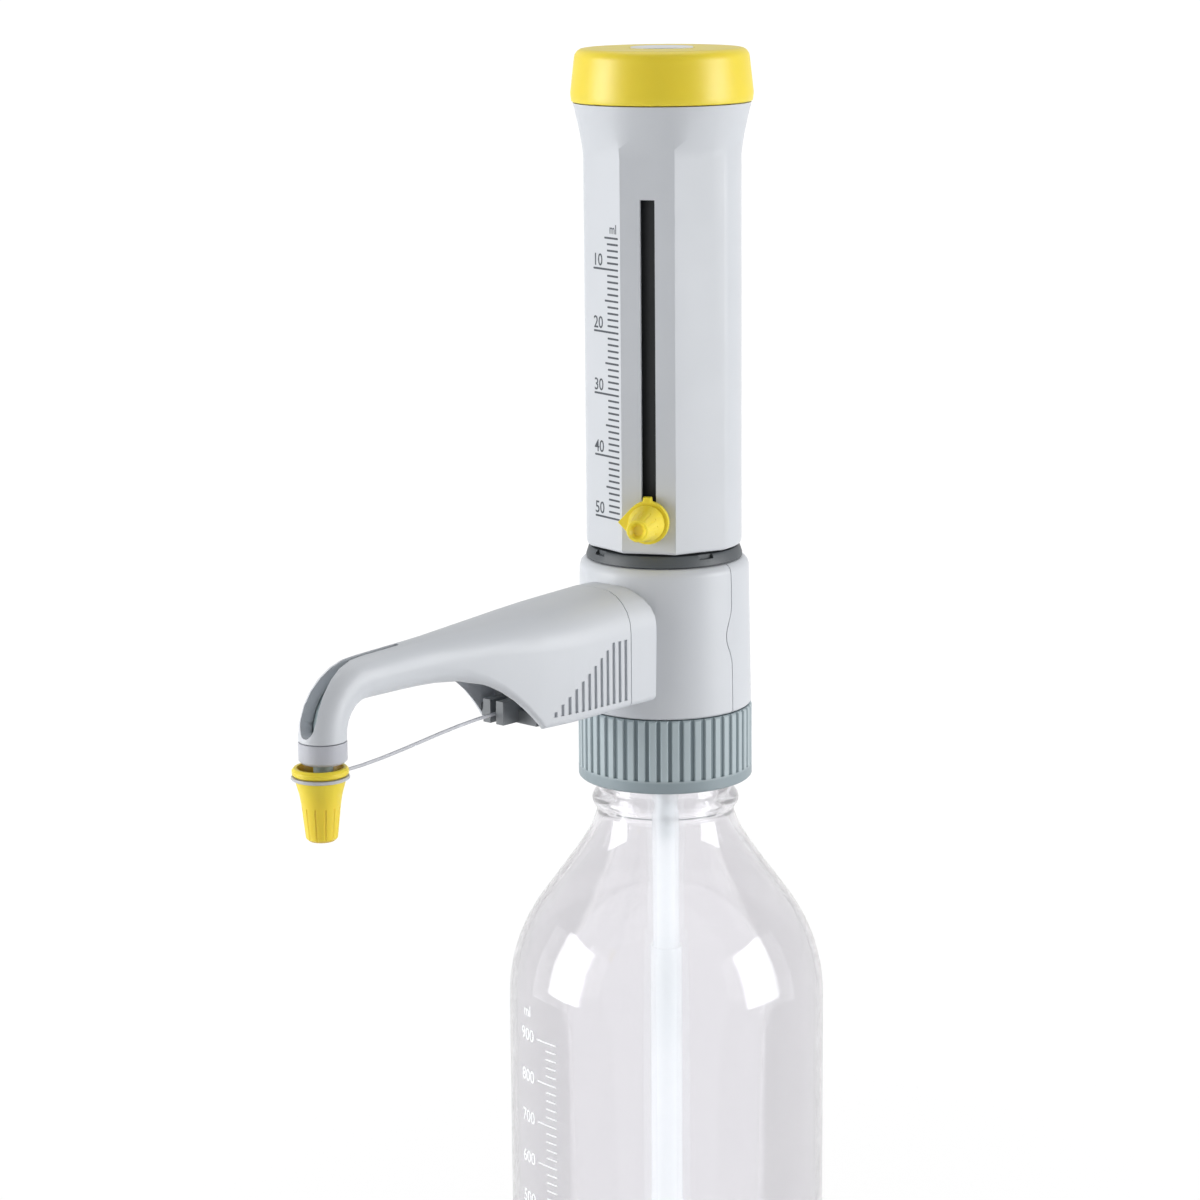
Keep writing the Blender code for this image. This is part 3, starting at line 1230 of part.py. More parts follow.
def spout_bottom(reach):
    """Slightly down under the grip, then up an arch to the arm."""
    drop = GRIP_DROP * min((reach - SPOUT_START) / GRIP_LENGTH, 1.0)
    share = min(max((reach - GRIP_END) / ARCH_LENGTH, 0.0), 1.0)
    rise = 1 - (1 - share) ** ARCH_FULLNESS
    return mix(BOSS_FOOT - drop, ARM_HEIGHT - ARM_RADIUS, rise)


def spout_section(reach):
    """The spout's section at a distance from the axis, before its bend."""
    half_width = spout_half_width(reach)
    slender = ease(reach, GRIP_TAPER_START, ARM_START)
    top_rounding = min(mix(BOSS_TOP_ROUNDING, ARM_RADIUS, slender), half_width)
    foot_rounding = mix(BOSS_FOOT_ROUNDING, ARM_RADIUS, ease(reach, GRIP_END, ARM_START))
    bottom = spout_bottom(reach)
    foot_rounding = min(foot_rounding, half_width, (spout_top(reach) - bottom - top_rounding))
    section = rounded_section(half_width, bottom, spout_top(reach), top_rounding, foot_rounding)
    return [(-reach, across, up) for across, up in section]


def on_bend(angle, across=0.0, out=0.0):
    """A point on the bend where it has turned down by angle, moved across it and outwards."""
    radius = BEND_RADIUS + out
    return (-(BEND_START + radius * math.sin(angle)), across,
            ARM_HEIGHT - BEND_RADIUS + radius * math.cos(angle))


def bend_section(angle):
    """A round section on the bend. At its start it matches the arm's."""
    radius = mix(ARM_RADIUS, NOZZLE_RADIUS, angle / (math.pi / 2))
    section = rounded_section(radius, -radius, radius, radius, radius)
    return [on_bend(angle, across, up) for across, up in section]


def tube_path(extra=0.0):
    """Centre line of the discharge tube from the coupling to its end, longer by extra."""
    points = [(-SPOUT_TUBE_START + extra, 0, DISCHARGE_HEIGHT), (-SPOUT_TUBE_START, 0, DISCHARGE_HEIGHT)]
    rise_start = SPOUT_TUBE_START
    for i in range(1, 7):
        reach = mix(rise_start, BEND_START, i / 6)
        points.append((-reach, 0, mix(DISCHARGE_HEIGHT, ARM_HEIGHT, ease(reach, rise_start, BEND_START))))
    points += [on_bend(math.pi / 2 * i / BEND_STEPS) for i in range(1, BEND_STEPS + 1)]
    points.append((-SPOUT_REACH, 0, SPOUT_TUBE_END - extra))
    return points if extra else points[1:]


def channel_half_width(angle):
    """A slit where the bend starts, widest low down on the bend and round at its foot."""
    if angle <= CHANNEL_WIDEST_ANGLE:
        return mix(CHANNEL_SLIT_HALF_WIDTH, CHANNEL_HALF_WIDTH, ease(angle, 0, CHANNEL_WIDEST_ANGLE))
    share = (angle - CHANNEL_WIDEST_ANGLE) / (CHANNEL_END_ANGLE - CHANNEL_WIDEST_ANGLE)
    return CHANNEL_HALF_WIDTH * math.sqrt(1 - share ** 2)


def channel_tool():
    """Cutter for the open channel: a slit along the arm's top that widens on the outside of the bend."""
    start = BEND_START - CHANNEL_STRAIGHT
    start_floor = spout_top(start) - ARM_HEIGHT - CHANNEL_START_DEPTH
    stations = []
    for share, fullness in ((0, 0.3), (0.03, 0.75), (0.08, 1), (0.5, 1), (0.75, 1)):
        floor = mix(start_floor, -CHANNEL_BELOW_TUBE_AXIS, ease(share, 0, 0.5))
        reach = start + CHANNEL_STRAIGHT * share
        stations.append([(-reach, across, ARM_HEIGHT + out) for across, out in
                         channel_section(CHANNEL_SLIT_HALF_WIDTH * fullness, floor)])
    angles = [CHANNEL_WIDEST_ANGLE * i / 6 for i in range(7)]
    angles += [mix(CHANNEL_WIDEST_ANGLE, CHANNEL_END_ANGLE, share) for share in (0.45, 0.75, 0.92, 0.985)]
    for angle in angles:
        stations.append([on_bend(angle, across, out) for across, out in
                         channel_section(channel_half_width(angle), -CHANNEL_BELOW_TUBE_AXIS)])
    return loft("channel_cutter", stations, CUTTERS)


def channel_section(half_width, floor):
    """Points (across, out) of the channel: splayed sides up to the arm's surface, straight above it."""
    low_half = min(half_width, CHANNEL_FLOOR_HALF_WIDTH)
    surface = max(math.sqrt(ARM_RADIUS ** 2 - half_width ** 2), floor + 0.0004)
    far = 3 * ARM_RADIUS
    return [(-low_half, floor), (-half_width, surface), (-half_width, far),
            (half_width, far), (half_width, surface), (low_half, floor)]


def grip_groove_tool(side):
    """Upright cutters in one flank of the grip. Their tops follow a slope, and side is -1 or +1."""
    shape = bmesh.new()
    first = SPOUT_START + 0.0023
    foot = BOSS_FOOT + 0.0024
    highest = BOSS_FOOT + 0.0215
    lowest = BOSS_FOOT + 0.004
    for i in range(GRIP_GROOVES):
        reach = first + GRIP_GROOVE_PITCH * i
        share = max(i - 2, 0) / (GRIP_GROOVES - 3)
        top = mix(highest, lowest, share)
        place = (
            Matrix.Translation((-reach, side * spout_half_width(reach), (top + foot) / 2))
            @ Matrix.Diagonal((GRIP_GROOVE_WIDTH, 2 * GRIP_GROOVE_DEPTH, top - foot, 1.0))
        )
        bmesh.ops.create_cube(shape, size=1.0, matrix=place)
    return from_bmesh("grip_grooves_" + ("near" if side < 0 else "far"), shape, CUTTERS)


def spout_housing():
    """Moulded arm: grooved grip, hollow underside, channel for the tube and round bend."""
    reaches = [SPOUT_START, mix(SPOUT_START, GRIP_END, 0.5), GRIP_TAPER_START + GRIP_RING_PAST_TAPER]
    reaches += [GRIP_END + ARCH_LENGTH * share for share in (0, 0.04, 0.1, 0.18, 0.28, 0.4, 0.56, 0.76, 1)]
    reaches += [mix(GRIP_END + ARCH_LENGTH, ARM_START, 0.5), ARM_START]
    rings = [spout_section(reach) for reach in sorted(reaches)]
    rings += [bend_section(math.pi / 2 * i / BEND_STEPS) for i in range(BEND_STEPS + 1)]
    rings.append([(x, y, NOZZLE_END) for x, y, z in rings[-1]])
    arm = loft("spout_housing", rings)
    pocket_end = SPOUT_START + REAR_POCKET_LENGTH
    cut(arm, block("rear_pocket", (-pocket_end, -REAR_POCKET_HALF_WIDTH, DISCHARGE_HEIGHT - REAR_POCKET_BELOW_AXIS),
                   (-SPOUT_START + CUT_PAST, REAR_POCKET_HALF_WIDTH, DISCHARGE_HEIGHT + REAR_POCKET_ABOVE_AXIS),
                   CUTTERS))
    cut(arm, under_pocket_tool(pocket_end + UNDER_POCKET_WALL))
    cut(arm, piped("tube_tunnel", tube_path(CUT_PAST), SPOUT_TUBE_RADIUS + RUN, 3, CUTTERS))
    cut(arm, channel_tool())
    cut(arm, grip_groove_tool(-1))
    cut(arm, grip_groove_tool(1))
    finish(arm, "pale_plastic")


def under_pocket_tool(start):
    """Cutter for the hollow under the grip, open below and to the arch."""
    ceiling = ARM_HEIGHT - ARM_RADIUS - UNDER_POCKET_CEILING
    end = GRIP_END + ARCH_LENGTH * 0.9
    rings = []
    for i in range(5):
        reach = mix(start, end, i / 4)
        half_width = spout_half_width(reach) - SPOUT_SKIN
        section = rounded_section(half_width, BOSS_FOOT - CUT_PAST, ceiling, 0.002, 0.0004, 2)
        rings.append([(-reach, across, up) for across, up in section])
    return loft("under_pocket", rings, CUTTERS)


def discharge_tube():
    """Clear tube from the coupling to the tip."""
    tube = piped("discharge_tube", tube_path(), SPOUT_TUBE_RADIUS, 4)
    cut(tube, piped("tube_bore", tube_path(0.002), SPOUT_TUBE_BORE, 1, CUTTERS))
    finish(tube, "clear_tube")


def nozzle_sleeve():
    """Translucent sleeve round the tube under the spout's end."""
    profile = [
        (NOZZLE_SLEEVE_RADIUS, NOZZLE_END - FIT),
        (NOZZLE_SLEEVE_RADIUS, SLEEVE_END + 0.0008),
        (NOZZLE_SLEEVE_RADIUS - 0.0008, SLEEVE_END),
        (SPOUT_TUBE_RADIUS + FIT, SLEEVE_END),
        (SPOUT_TUBE_RADIUS + FIT, NOZZLE_END - FIT),
    ]
    sleeve = turned("nozzle_sleeve", profile, SMALL_ROUND)
    sleeve.location = (-SPOUT_REACH, 0, 0)
    finish(sleeve, "clear_tube")


def tip_cap():
    """Yellow cap of the tip: wide mouth, groove for the strap's ring and a ribbed, tapered foot."""
    taper_end = TIP_CAP_SHOULDER - TIP_CAP_TAPER
    seat = SPOUT_TUBE_END - FIT
    profile = [
        (0, seat),
        (TIP_CAP_SEAT_RADIUS, seat),
        (TIP_CAP_MOUTH_RADIUS, TIP_CAP_TOP),
        (TIP_CAP_FLANGE_RADIUS - 0.0006, TIP_CAP_TOP),
        (TIP_CAP_FLANGE_RADIUS, TIP_CAP_TOP - 0.0007),
        (TIP_CAP_FLANGE_RADIUS, TIP_CAP_GROOVE_TOP + 0.0004),
        (TIP_CAP_FLANGE_RADIUS - 0.0004, TIP_CAP_GROOVE_TOP),
        (TIP_CAP_GROOVE_RADIUS, TIP_CAP_GROOVE_TOP),
        (TIP_CAP_GROOVE_RADIUS, TIP_CAP_SHOULDER),
        (TIP_CAP_SHOULDER_RADIUS, TIP_CAP_SHOULDER),
        (TIP_CAP_NECK_RADIUS, mix(TIP_CAP_SHOULDER, taper_end, 0.6)),
        (TIP_CAP_WAIST_RADIUS, taper_end),
        (TIP_CAP_FOOT_RADIUS, TIP_CAP_BOTTOM + 0.0008),
        (TIP_CAP_FOOT_RADIUS - 0.0008, TIP_CAP_BOTTOM),
        (0, TIP_CAP_BOTTOM),
    ]
    cap = turned("tip_cap", profile, 2 * TIP_CAP_RIBS)
    run = taper_end - TIP_CAP_BOTTOM
    lean = math.atan((TIP_CAP_WAIST_RADIUS - TIP_CAP_FOOT_RADIUS) / run)
    middle = (TIP_CAP_WAIST_RADIUS + TIP_CAP_FOOT_RADIUS) / 2 + 0.0001
    tool = grooves("tip_cap_grooves", TIP_CAP_RIBS, middle, TIP_CAP_RIB_DEPTH,
                   TIP_CAP_BOTTOM - 0.0015, taper_end - 0.0005, lean)
    cut(cap, tool)
    for item in (cap, tool):
        item.location = (TIP_CAP_X, 0, 0)
    finish(cap, "yellow_plastic")


def strap_ring_tool():
    """Flat ring in the tip cap's groove."""
    half = STRAP_RING_THICKNESS / 2
    edge = half * 0.6
    profile = [
        (STRAP_RING_OUTER - edge, half),
        (STRAP_RING_OUTER, 0),
        (STRAP_RING_OUTER - edge, -half),
        (STRAP_RING_INNER, -half),
        (STRAP_RING_INNER, half),
    ]
    ring = turned("strap_ring", profile, SMALL_ROUND, CUTTERS)
    ring.location = (TIP_CAP_X, 0, STRAP_RING_HEIGHT)
    return ring


def strap_eye_tool():
    """Round ring that stands round the holder's pin."""
    ring = turned("strap_eye", arc((STRAP_EYE_RADIUS, 0), STRAP_RADIUS, 0, -315, 7), 16, CUTTERS)
    ring.location = (-STRAP_PIN_REACH, 0, STRAP_PIN_HEIGHT)
    ring.rotation_euler = (math.pi / 2, 0, 0)
    return ring


def cap_strap():
    """Thin, slightly curved strap from an eye on the holder's pin to a ring in the tip cap's groove."""
    start = (-STRAP_PIN_REACH - STRAP_EYE_RADIUS, 0, STRAP_PIN_HEIGHT)
    end = (TIP_CAP_X + STRAP_RING_INNER + STRAP_RING_WIDTH / 2, 0, STRAP_RING_HEIGHT)
    path = [(mix(start[0], end[0], i / STRAP_PIECES), 0, mix(start[2], end[2], ease(i, 0, STRAP_PIECES)))
            for i in range(STRAP_PIECES + 1)]
    strap = piped("cap_strap", path, STRAP_RADIUS * 0.95, 2)
    join(strap, strap_ring_tool())
    join(strap, strap_eye_tool())
    finish(strap, "strap_polymer")


def cap_holder():
    """Plate between the grip's flanks, with a notched lug and a pin for the strap's eye."""
    bottom = BOSS_FOOT
    start = SPOUT_START + REAR_POCKET_LENGTH + UNDER_POCKET_WALL + FIT
    rings = []
    for reach in (start, HOLDER_PLATE_FRONT):
        half_width = spout_half_width(reach) - SPOUT_SKIN - FIT
        rings.append([(-reach, half_width, bottom), (-reach, half_width, bottom + HOLDER_PLATE_HEIGHT),
                      (-reach, -half_width, bottom + HOLDER_PLATE_HEIGHT), (-reach, -half_width, bottom)])
    holder = loft("cap_holder", rings)
    lug_foot = bottom + 0.0004
    join(holder, block("holder_lug", (-HOLDER_LUG_FRONT, -HOLDER_LUG_HALF_WIDTH, lug_foot),
                       (-HOLDER_PLATE_FRONT + 0.002, HOLDER_LUG_HALF_WIDTH, lug_foot + HOLDER_LUG_HEIGHT),
                       CUTTERS))
    notch_half = HOLDER_NOTCH_WIDTH / 2
    notch_back = STRAP_PIN_REACH - STRAP_EYE_RADIUS - STRAP_RADIUS - 2 * RUN
    cut(holder, block("holder_notch", (-HOLDER_LUG_FRONT - 0.01, -notch_half, bottom - 0.01),
                      (-notch_back, notch_half, lug_foot + HOLDER_LUG_HEIGHT + 0.01), CUTTERS))
    join(holder, rod_between("strap_pin", (-STRAP_PIN_REACH, -notch_half - 0.001, STRAP_PIN_HEIGHT),
                             (-STRAP_PIN_REACH, notch_half + 0.001, STRAP_PIN_HEIGHT),
                             STRAP_PIN_RADIUS, 12, CUTTERS))
    finish(holder, "pale_plastic")


def smooth_round_pieces():
    """Shade the pieces smooth with sharp edges kept."""
    for item in bpy.data.collections[PART_COLLECTION].objects:
        if item.type == "MESH":
            item.data.shade_smooth()
            item.data.set_sharp_from_angle(angle=math.radians(35))


def main():
    clear_scene()
    bottle_glass()
    bottle_seal()
    collar_retainer()
    threaded_collar()
    front_casing()
    rear_casing()
    valve_core()
    air_vent_cap()
    filling_valve()
    filling_tubes()
    cylinder_group()
    safety_ring()
    housing()
    piston_group()
    top_cap()
    volume_pointer()
    discharge_coupling()
    spout_housing()
    discharge_tube()
    nozzle_sleeve()
    tip_cap()
    cap_strap()
    cap_holder()
    smooth_round_pieces()


main()
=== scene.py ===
# %% [markdown]
# # Looks of a bottle top dispenser
# The instrument is a hand pump that screws on a laboratory bottle. Its solids come from the packed
# model, where everything is in metres. This lesson dresses them: it refines the moulded pieces,
# makes the glass and the printed scales anew, and gives each surface a procedural finish.

import json
import math

import bpy
from mathutils import Matrix, Vector

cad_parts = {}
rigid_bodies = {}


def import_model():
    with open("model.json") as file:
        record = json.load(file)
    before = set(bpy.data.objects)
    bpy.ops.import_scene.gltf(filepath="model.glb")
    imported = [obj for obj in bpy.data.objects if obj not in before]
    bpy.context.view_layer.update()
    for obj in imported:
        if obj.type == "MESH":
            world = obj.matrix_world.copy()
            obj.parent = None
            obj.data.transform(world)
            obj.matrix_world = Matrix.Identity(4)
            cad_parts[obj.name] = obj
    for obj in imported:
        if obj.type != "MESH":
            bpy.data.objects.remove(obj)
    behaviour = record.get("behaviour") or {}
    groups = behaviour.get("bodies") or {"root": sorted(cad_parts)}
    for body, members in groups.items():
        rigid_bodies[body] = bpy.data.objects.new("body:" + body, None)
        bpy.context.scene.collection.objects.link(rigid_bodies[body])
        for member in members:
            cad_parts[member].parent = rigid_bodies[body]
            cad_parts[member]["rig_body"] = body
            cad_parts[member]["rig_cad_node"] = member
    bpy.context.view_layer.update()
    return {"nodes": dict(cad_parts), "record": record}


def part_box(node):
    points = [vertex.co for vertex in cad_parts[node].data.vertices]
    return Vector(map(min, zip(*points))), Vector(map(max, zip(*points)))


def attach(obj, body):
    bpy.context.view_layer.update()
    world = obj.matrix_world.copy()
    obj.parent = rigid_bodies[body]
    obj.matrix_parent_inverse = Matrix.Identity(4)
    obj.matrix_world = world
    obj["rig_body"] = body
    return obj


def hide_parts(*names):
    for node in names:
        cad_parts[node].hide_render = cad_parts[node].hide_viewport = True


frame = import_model()
nodes = frame["nodes"]
MM = 0.001

# %% [markdown]
# ## Working by selection
# Operators act on what is selected, as in the window. Small helpers empty the selection, open a
# piece for editing and close it again, apply a modifier or a place, and set the shading.


# %% Selection helpers
def nothing_selected():
    """Leave edit mode and deselect everything."""
    if bpy.context.object and bpy.context.object.mode != "OBJECT":
        bpy.ops.object.mode_set(mode="OBJECT")
    bpy.ops.object.select_all(action="DESELECT")


def only(piece):
    """Make this piece the one selected and active object."""
    nothing_selected()
    piece.select_set(True)
    bpy.context.view_layer.objects.active = piece
    return piece


def edit(piece):
    """Open the piece in edit mode with all of it selected."""
    only(piece)
    bpy.ops.object.mode_set(mode="EDIT")
    bpy.ops.mesh.select_all(action="SELECT")


def done(piece):
    """Merge doubled points, turn the faces outwards and go back to object mode."""
    bpy.ops.mesh.select_all(action="SELECT")
    bpy.ops.mesh.remove_doubles(threshold=1e-6)
    bpy.ops.mesh.normals_make_consistent(inside=False)
    bpy.ops.object.mode_set(mode="OBJECT")
    return piece


def with_modifier(piece, kind, **settings):
    """Add a modifier, set it and apply it."""
    only(piece)
    modifier = piece.modifiers.new(kind.lower(), kind)
    for name, value in settings.items():
        setattr(modifier, name, value)
    bpy.ops.object.modifier_apply(modifier=modifier.name)
    return piece


def smooth(piece, degrees=32):
    """Shade smooth, with edges steeper than the angle kept crisp."""
    only(piece)
    bpy.ops.object.shade_smooth_by_angle(angle=math.radians(degrees))
    return piece


def fixed(piece):
    """Apply the object's place so that it lies in the mesh, as a CAD node's does."""
    only(piece)
    bpy.ops.object.transform_apply(location=True, rotation=True, scale=True)
    return piece


nothing_selected()

# %% [markdown]
# ## Turned pieces
# Bottles, tubes and rings are round. One could spin a profile, but extruding a ring upwards and
# scaling it at each step is how a turned piece grows by hand, and it keeps the faces in even bands.


# %% Turned piece
def turned(name, profile, sides):
    """A ring extruded through (radius, height) steps in millimetres and closed on its first step."""
    nothing_selected()
    radius, height = (value * MM for value in profile[0])
    bpy.ops.mesh.primitive_circle_add(vertices=sides, radius=radius, location=(0, 0, height))
    piece = bpy.context.object
    piece.name = name
    fixed(piece)
    edit(piece)
    for step in profile[1:] + profile[:1]:
        next_radius, next_height = (value * MM for value in step)
        bpy.ops.mesh.extrude_region_move(TRANSFORM_OT_translate={"value": (0, 0, next_height - height)})
        share = next_radius / radius
        bpy.ops.transform.resize(value=(share, share, 1), center_override=(0, 0, next_height))
        radius, height = next_radius, next_height
    return smooth(done(piece))


def arc(centre_radius, centre_height, radius, start, end, steps):
    """Profile points on an arc, with its angles in degrees from the outward direction."""
    angles = [math.radians(start + (end - start) * i / steps) for i in range(steps + 1)]
    return [(centre_radius + radius * math.cos(a), centre_height + radius * math.sin(a)) for a in angles]


# %% [markdown]
# ## Shader maths as expressions
# A finish is a small graph of nodes. Writing it as nodes and links by hand is long, so a wire wraps
# one output socket and turns Python operators into Math nodes. A recipe holds one material.


# %% Wires and recipes
class Wire:
    """One output of a material's graph, with arithmetic as operators."""

    def __init__(self, recipe, socket):
        self.recipe = recipe
        self.socket = socket

    def maths(self, operation, first, second):
        """A Math node of two values or wires."""
        return self.recipe.add("ShaderNodeMath", {"operation": operation}, {0: first, 1: second})

    def __add__(self, other):
        return self.maths("ADD", self, other)

    def __sub__(self, other):
        return self.maths("SUBTRACT", self, other)

    def __rsub__(self, other):
        return self.maths("SUBTRACT", other, self)

    def __mul__(self, other):
        return self.maths("MULTIPLY", self, other)

    def __gt__(self, other):
        return self.maths("GREATER_THAN", self, other)

    __radd__ = __add__
    __rmul__ = __mul__


class Recipe:
    """A material, or the world, that is built node by node."""

    def __init__(self, name, data=None):
        self.material = data or bpy.data.materials.new(name)
        self.material.use_nodes = True
        self.nodes = self.material.node_tree.nodes
        self.links = self.material.node_tree.links
        self.nodes.clear()

    def add(self, kind, settings=None, sockets=None, output=0):
        """One node of any kind: its settings first, then values or wires for its sockets."""
        node = self.nodes.new(kind)
        for name, value in (settings or {}).items():
            setattr(node, name, value)
        for name, value in (sockets or {}).items():
            if isinstance(value, Wire):
                self.links.new(value.socket, node.inputs[name])
            else:
                node.inputs[name].default_value = value
        return Wire(self, node.outputs[output]) if node.outputs else node

    def rays(self, *kinds):
        """1 on rays of any of these kinds, else 0."""
        wires = [self.add("ShaderNodeLightPath", output=f"Is {kind} Ray") for kind in kinds]
        found = wires[0]
        for wire in wires[1:]:
            found = found.maths("MAXIMUM", found, wire)
        return found

    def place(self):
        """The point on the piece in metres."""
        return self.add("ShaderNodeTexCoord", output="Object")

    def stretched(self, scale, location=(0, 0, 0)):
        """The point with its axes scaled, then moved, to stretch or centre a pattern."""
        return self.add("ShaderNodeMapping", {}, {
            "Vector": self.place(), "Scale": scale, "Location": location})

    def height(self):
        """The height on the piece in metres."""
        return self.add("ShaderNodeSeparateXYZ", {}, {0: self.place()}, output=2)

    def length(self, vector):
        """The length of a vector wire."""
        return self.add("ShaderNodeVectorMath", {"operation": "LENGTH"}, {0: vector}, output=1)

    def noise(self, scale, detail=2.0, vector=None, rough=0.5):
        """Soft random values round one half. The scale is in waves a metre."""
        return self.add("ShaderNodeTexNoise", {}, {"Vector": vector or self.place(), "Scale": scale,
                                                   "Detail": detail, "Roughness": rough})

    def blend(self, share, first, second):
        """A colour between two, by a share from 0 to 1."""
        values = {0: share, 6: first, 7: second}
        sockets = {key: (*value, 1.0) if isinstance(value, tuple) else value for key, value in values.items()}
        return self.add("ShaderNodeMix", {"data_type": "RGBA"}, sockets, output=2)

    def bump(self, height, depth):
        """A normal from a height wire. The depth is in metres."""
        return self.add("ShaderNodeBump", {}, {"Height": height, "Distance": depth, "Strength": 1.0})

    def principled(self, **sockets):
        """The closing surface. Underscores in the names stand for spaces."""
        values = {name.replace("_", " "): value for name, value in sockets.items()}
        values = {name: (*value, 1.0) if "Color" in name and isinstance(value, tuple) else value
                  for name, value in values.items()}
        return self.closed(self.add("ShaderNodeBsdfPrincipled", {}, values))

    def closed(self, surface, kind="Material", **more):
        """End the graph with this surface, and a volume if there is one."""
        self.add("ShaderNodeOutput" + kind, {}, {"Surface": surface, **more})
        return self.material


def srgb(red, green, blue):
    """A colour as a picture editor shows it, from 0 to 255, in linear light."""
    def linear(value):
        value /= 255
        return value / 12.92 if value <= 0.04045 else ((value + 0.055) / 1.055) ** 2.4
    return linear(red), linear(green), linear(blue)


# %% [markdown]
# ## Moulded plastics
# The housing, casing and spout are injection moulded in a pale grey. Such a surface isn't flat:
# the tool's fine spark texture breaks up its shine, and the tone drifts a little along the part.
# Two noises at 0.4 mm and 2 mm make the texture, and a slow one of several centimetres the drift.


# %% Plastic finishes
def plastic(name, tone, other_tone, roughness, grain=0.00002, spread=0.08, shaded=None, **more):
    """Spark textured plastic between two close tones, with painted shade on top from a function if there is
    one.
    """
    recipe = Recipe(name)
    drift = recipe.noise(22, 3)
    fine = recipe.noise(2600, 2)
    coarse = recipe.noise(520, 2)
    height = 0.6 * fine + 0.4 * coarse
    speckle = (recipe.noise(5200, 1) - 0.5) * 0.25 + drift
    rubbed = recipe.noise(90, 4, rough=0.65)
    colour = recipe.blend(speckle, tone, other_tone)
    return recipe.principled(
        Base_Color=shaded(recipe, colour) if shaded else colour,
        Roughness=roughness - spread + 2 * spread * rubbed,
        Normal=recipe.bump(height, grain),
        **more,
    )


def grooved(recipe, colour):
    """Painted shade: darker between the collar's ribs, on its lower band and under the casing's foot."""
    low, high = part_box("threaded_collar")
    outer = (high[0] - low[0]) / 2
    radius = recipe.length(recipe.stretched((1, 1, 0)))
    # Each share of painted shade grows from 0 over a millimetre or less, and a limit keeps some of the
    # plastic's own tone.
    recess_shade = (outer - 0.3 * MM - radius) * 1600
    height = recipe.height()
    shelf = (height - (high[2] - 0.5 * MM)) * 4000
    foot = (low[2] + 4.5 * MM - height) * 500
    lower = recipe.blend(foot.maths("MINIMUM", foot, 0.6), colour, srgb(112, 126, 133))
    darker = recipe.blend(recess_shade.maths("MINIMUM", recess_shade, 0.75), lower, srgb(92, 108, 115))
    return recipe.blend(shelf, darker, srgb(62, 70, 76))


def ribbed(recipe, colour):
    """Painted shade: darker in the tip cap's grooves and mouth, which lie inside its outer cone."""
    low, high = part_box("tip_cap")
    centre = recipe.stretched((1, 1, 0), (-(low[0] + high[0]) / 2, -(low[1] + high[1]) / 2, 0))
    cone = 4.4 * MM + 0.111 * (recipe.height() - low[2])
    recess_shade = (cone - recipe.length(centre)) * 2500
    return recipe.blend(recess_shade.maths("MINIMUM", recess_shade, 0.6), colour, srgb(196, 152, 20))


yellow = {"roughness": 0.38, "grain": 0.000016, "Subsurface_Weight": 0.3, "Subsurface_Scale": 0.005,
          "Subsurface_Radius": (1, 0.8, 0.3)}
finishes = {
    "pale_plastic": plastic("pale_plastic", srgb(196, 200, 205), srgb(209, 212, 217), 0.42),
    "collar_plastic": plastic("collar_plastic", srgb(160, 174, 179), srgb(180, 192, 197), 0.46, 0.00003,
                              shaded=grooved),
    # Painted shade: the holder of the strap lies in shadow under the arm, so it is given a darker grey.
    "holder_shade_plastic": plastic("holder_shade_plastic", srgb(100, 104, 108), srgb(116, 120, 124), 0.45),
    "dark_plastic": plastic("dark_plastic", srgb(40, 42, 45), srgb(56, 58, 61), 0.50, 0.00003),
    "ring_plastic": plastic("ring_plastic", srgb(62, 67, 71), srgb(80, 85, 89), 0.48, 0.00002),
    "yellow_plastic": plastic("yellow_plastic", srgb(234, 209, 42), srgb(240, 219, 66), **yellow),
    # The tip cap's finish has painted shade in its grooves and mouth.
    "tip_plastic": plastic("tip_plastic", srgb(232, 205, 38), srgb(238, 214, 58), shaded=ribbed, **yellow),
    "white_polymer": plastic("white_polymer", srgb(226, 228, 231), srgb(238, 240, 242), 0.45),
    "strap_polymer": plastic("strap_polymer", srgb(180, 182, 189), srgb(198, 200, 206), 0.42),
    "milky_polymer": plastic("milky_polymer", srgb(222, 226, 228), srgb(236, 239, 240), 0.38,
                             Transmission_Weight=0.15),
}
print("plastics", sorted(finishes))

# %% [markdown]
# ## Glass, tubes, steel and ink
# Borosilicate glass is clear, with a faint haze of handling and a grey tint where the path through
# it is long, at its edges. Fluoropolymer tubes are never quite clear: drawing leaves streaks along
# them, so their noise is stretched along the tube. The filling tubes also glow faintly, painted light
# that brightens them behind the glass though they are no lamp. The ball is ground ceramic, the nut
# is turned steel with rings round its axis, and the ink is slightly worn.


# %% Clear and metal finishes
def glass():
    """Clear to light and shadow rays, so that what stands in the bottle is lit through its wall."""
    recipe = Recipe("glass")
    smudge = recipe.noise(46, 2)
    clear = recipe.add("ShaderNodeBsdfPrincipled", {}, {
        "Base Color": recipe.blend(smudge, srgb(247, 246, 249), srgb(250, 249, 251)),
        "Roughness": smudge * 0.02 + 0.002,
        "Transmission Weight": 1.0, "IOR": 1.47})
    lit = recipe.rays("Shadow", "Diffuse")
    passing = recipe.add("ShaderNodeBsdfTransparent", {}, {"Color": (0.98, 0.98, 0.98, 1)})
    tint = recipe.add("ShaderNodeVolumeAbsorption", {}, {"Color": (0.5, 0.5, 0.53, 1), "Density": 16.0})
    return recipe.closed(recipe.add("ShaderNodeMixShader", {}, {
        0: lit.maths("MAXIMUM", lit, 0.22), 1: clear, 2: passing}), Volume=tint)


def drawn_tube(name, tone, other_tone, clear, roughness, **more):
    """Cloudy tube with streaks along it. Clear is the share of light that passes."""
    recipe = Recipe(name)
    streaks = recipe.noise(900, 3, recipe.stretched((1.0, 1.0, 0.02)))
    haze = recipe.noise(60, 4)
    return recipe.principled(
        Base_Color=recipe.blend(haze, tone, other_tone),
        Roughness=streaks * 0.12 + roughness,
        Normal=recipe.bump(streaks, 0.00003),
        Transmission_Weight=clear, IOR=1.34, **more,
    )


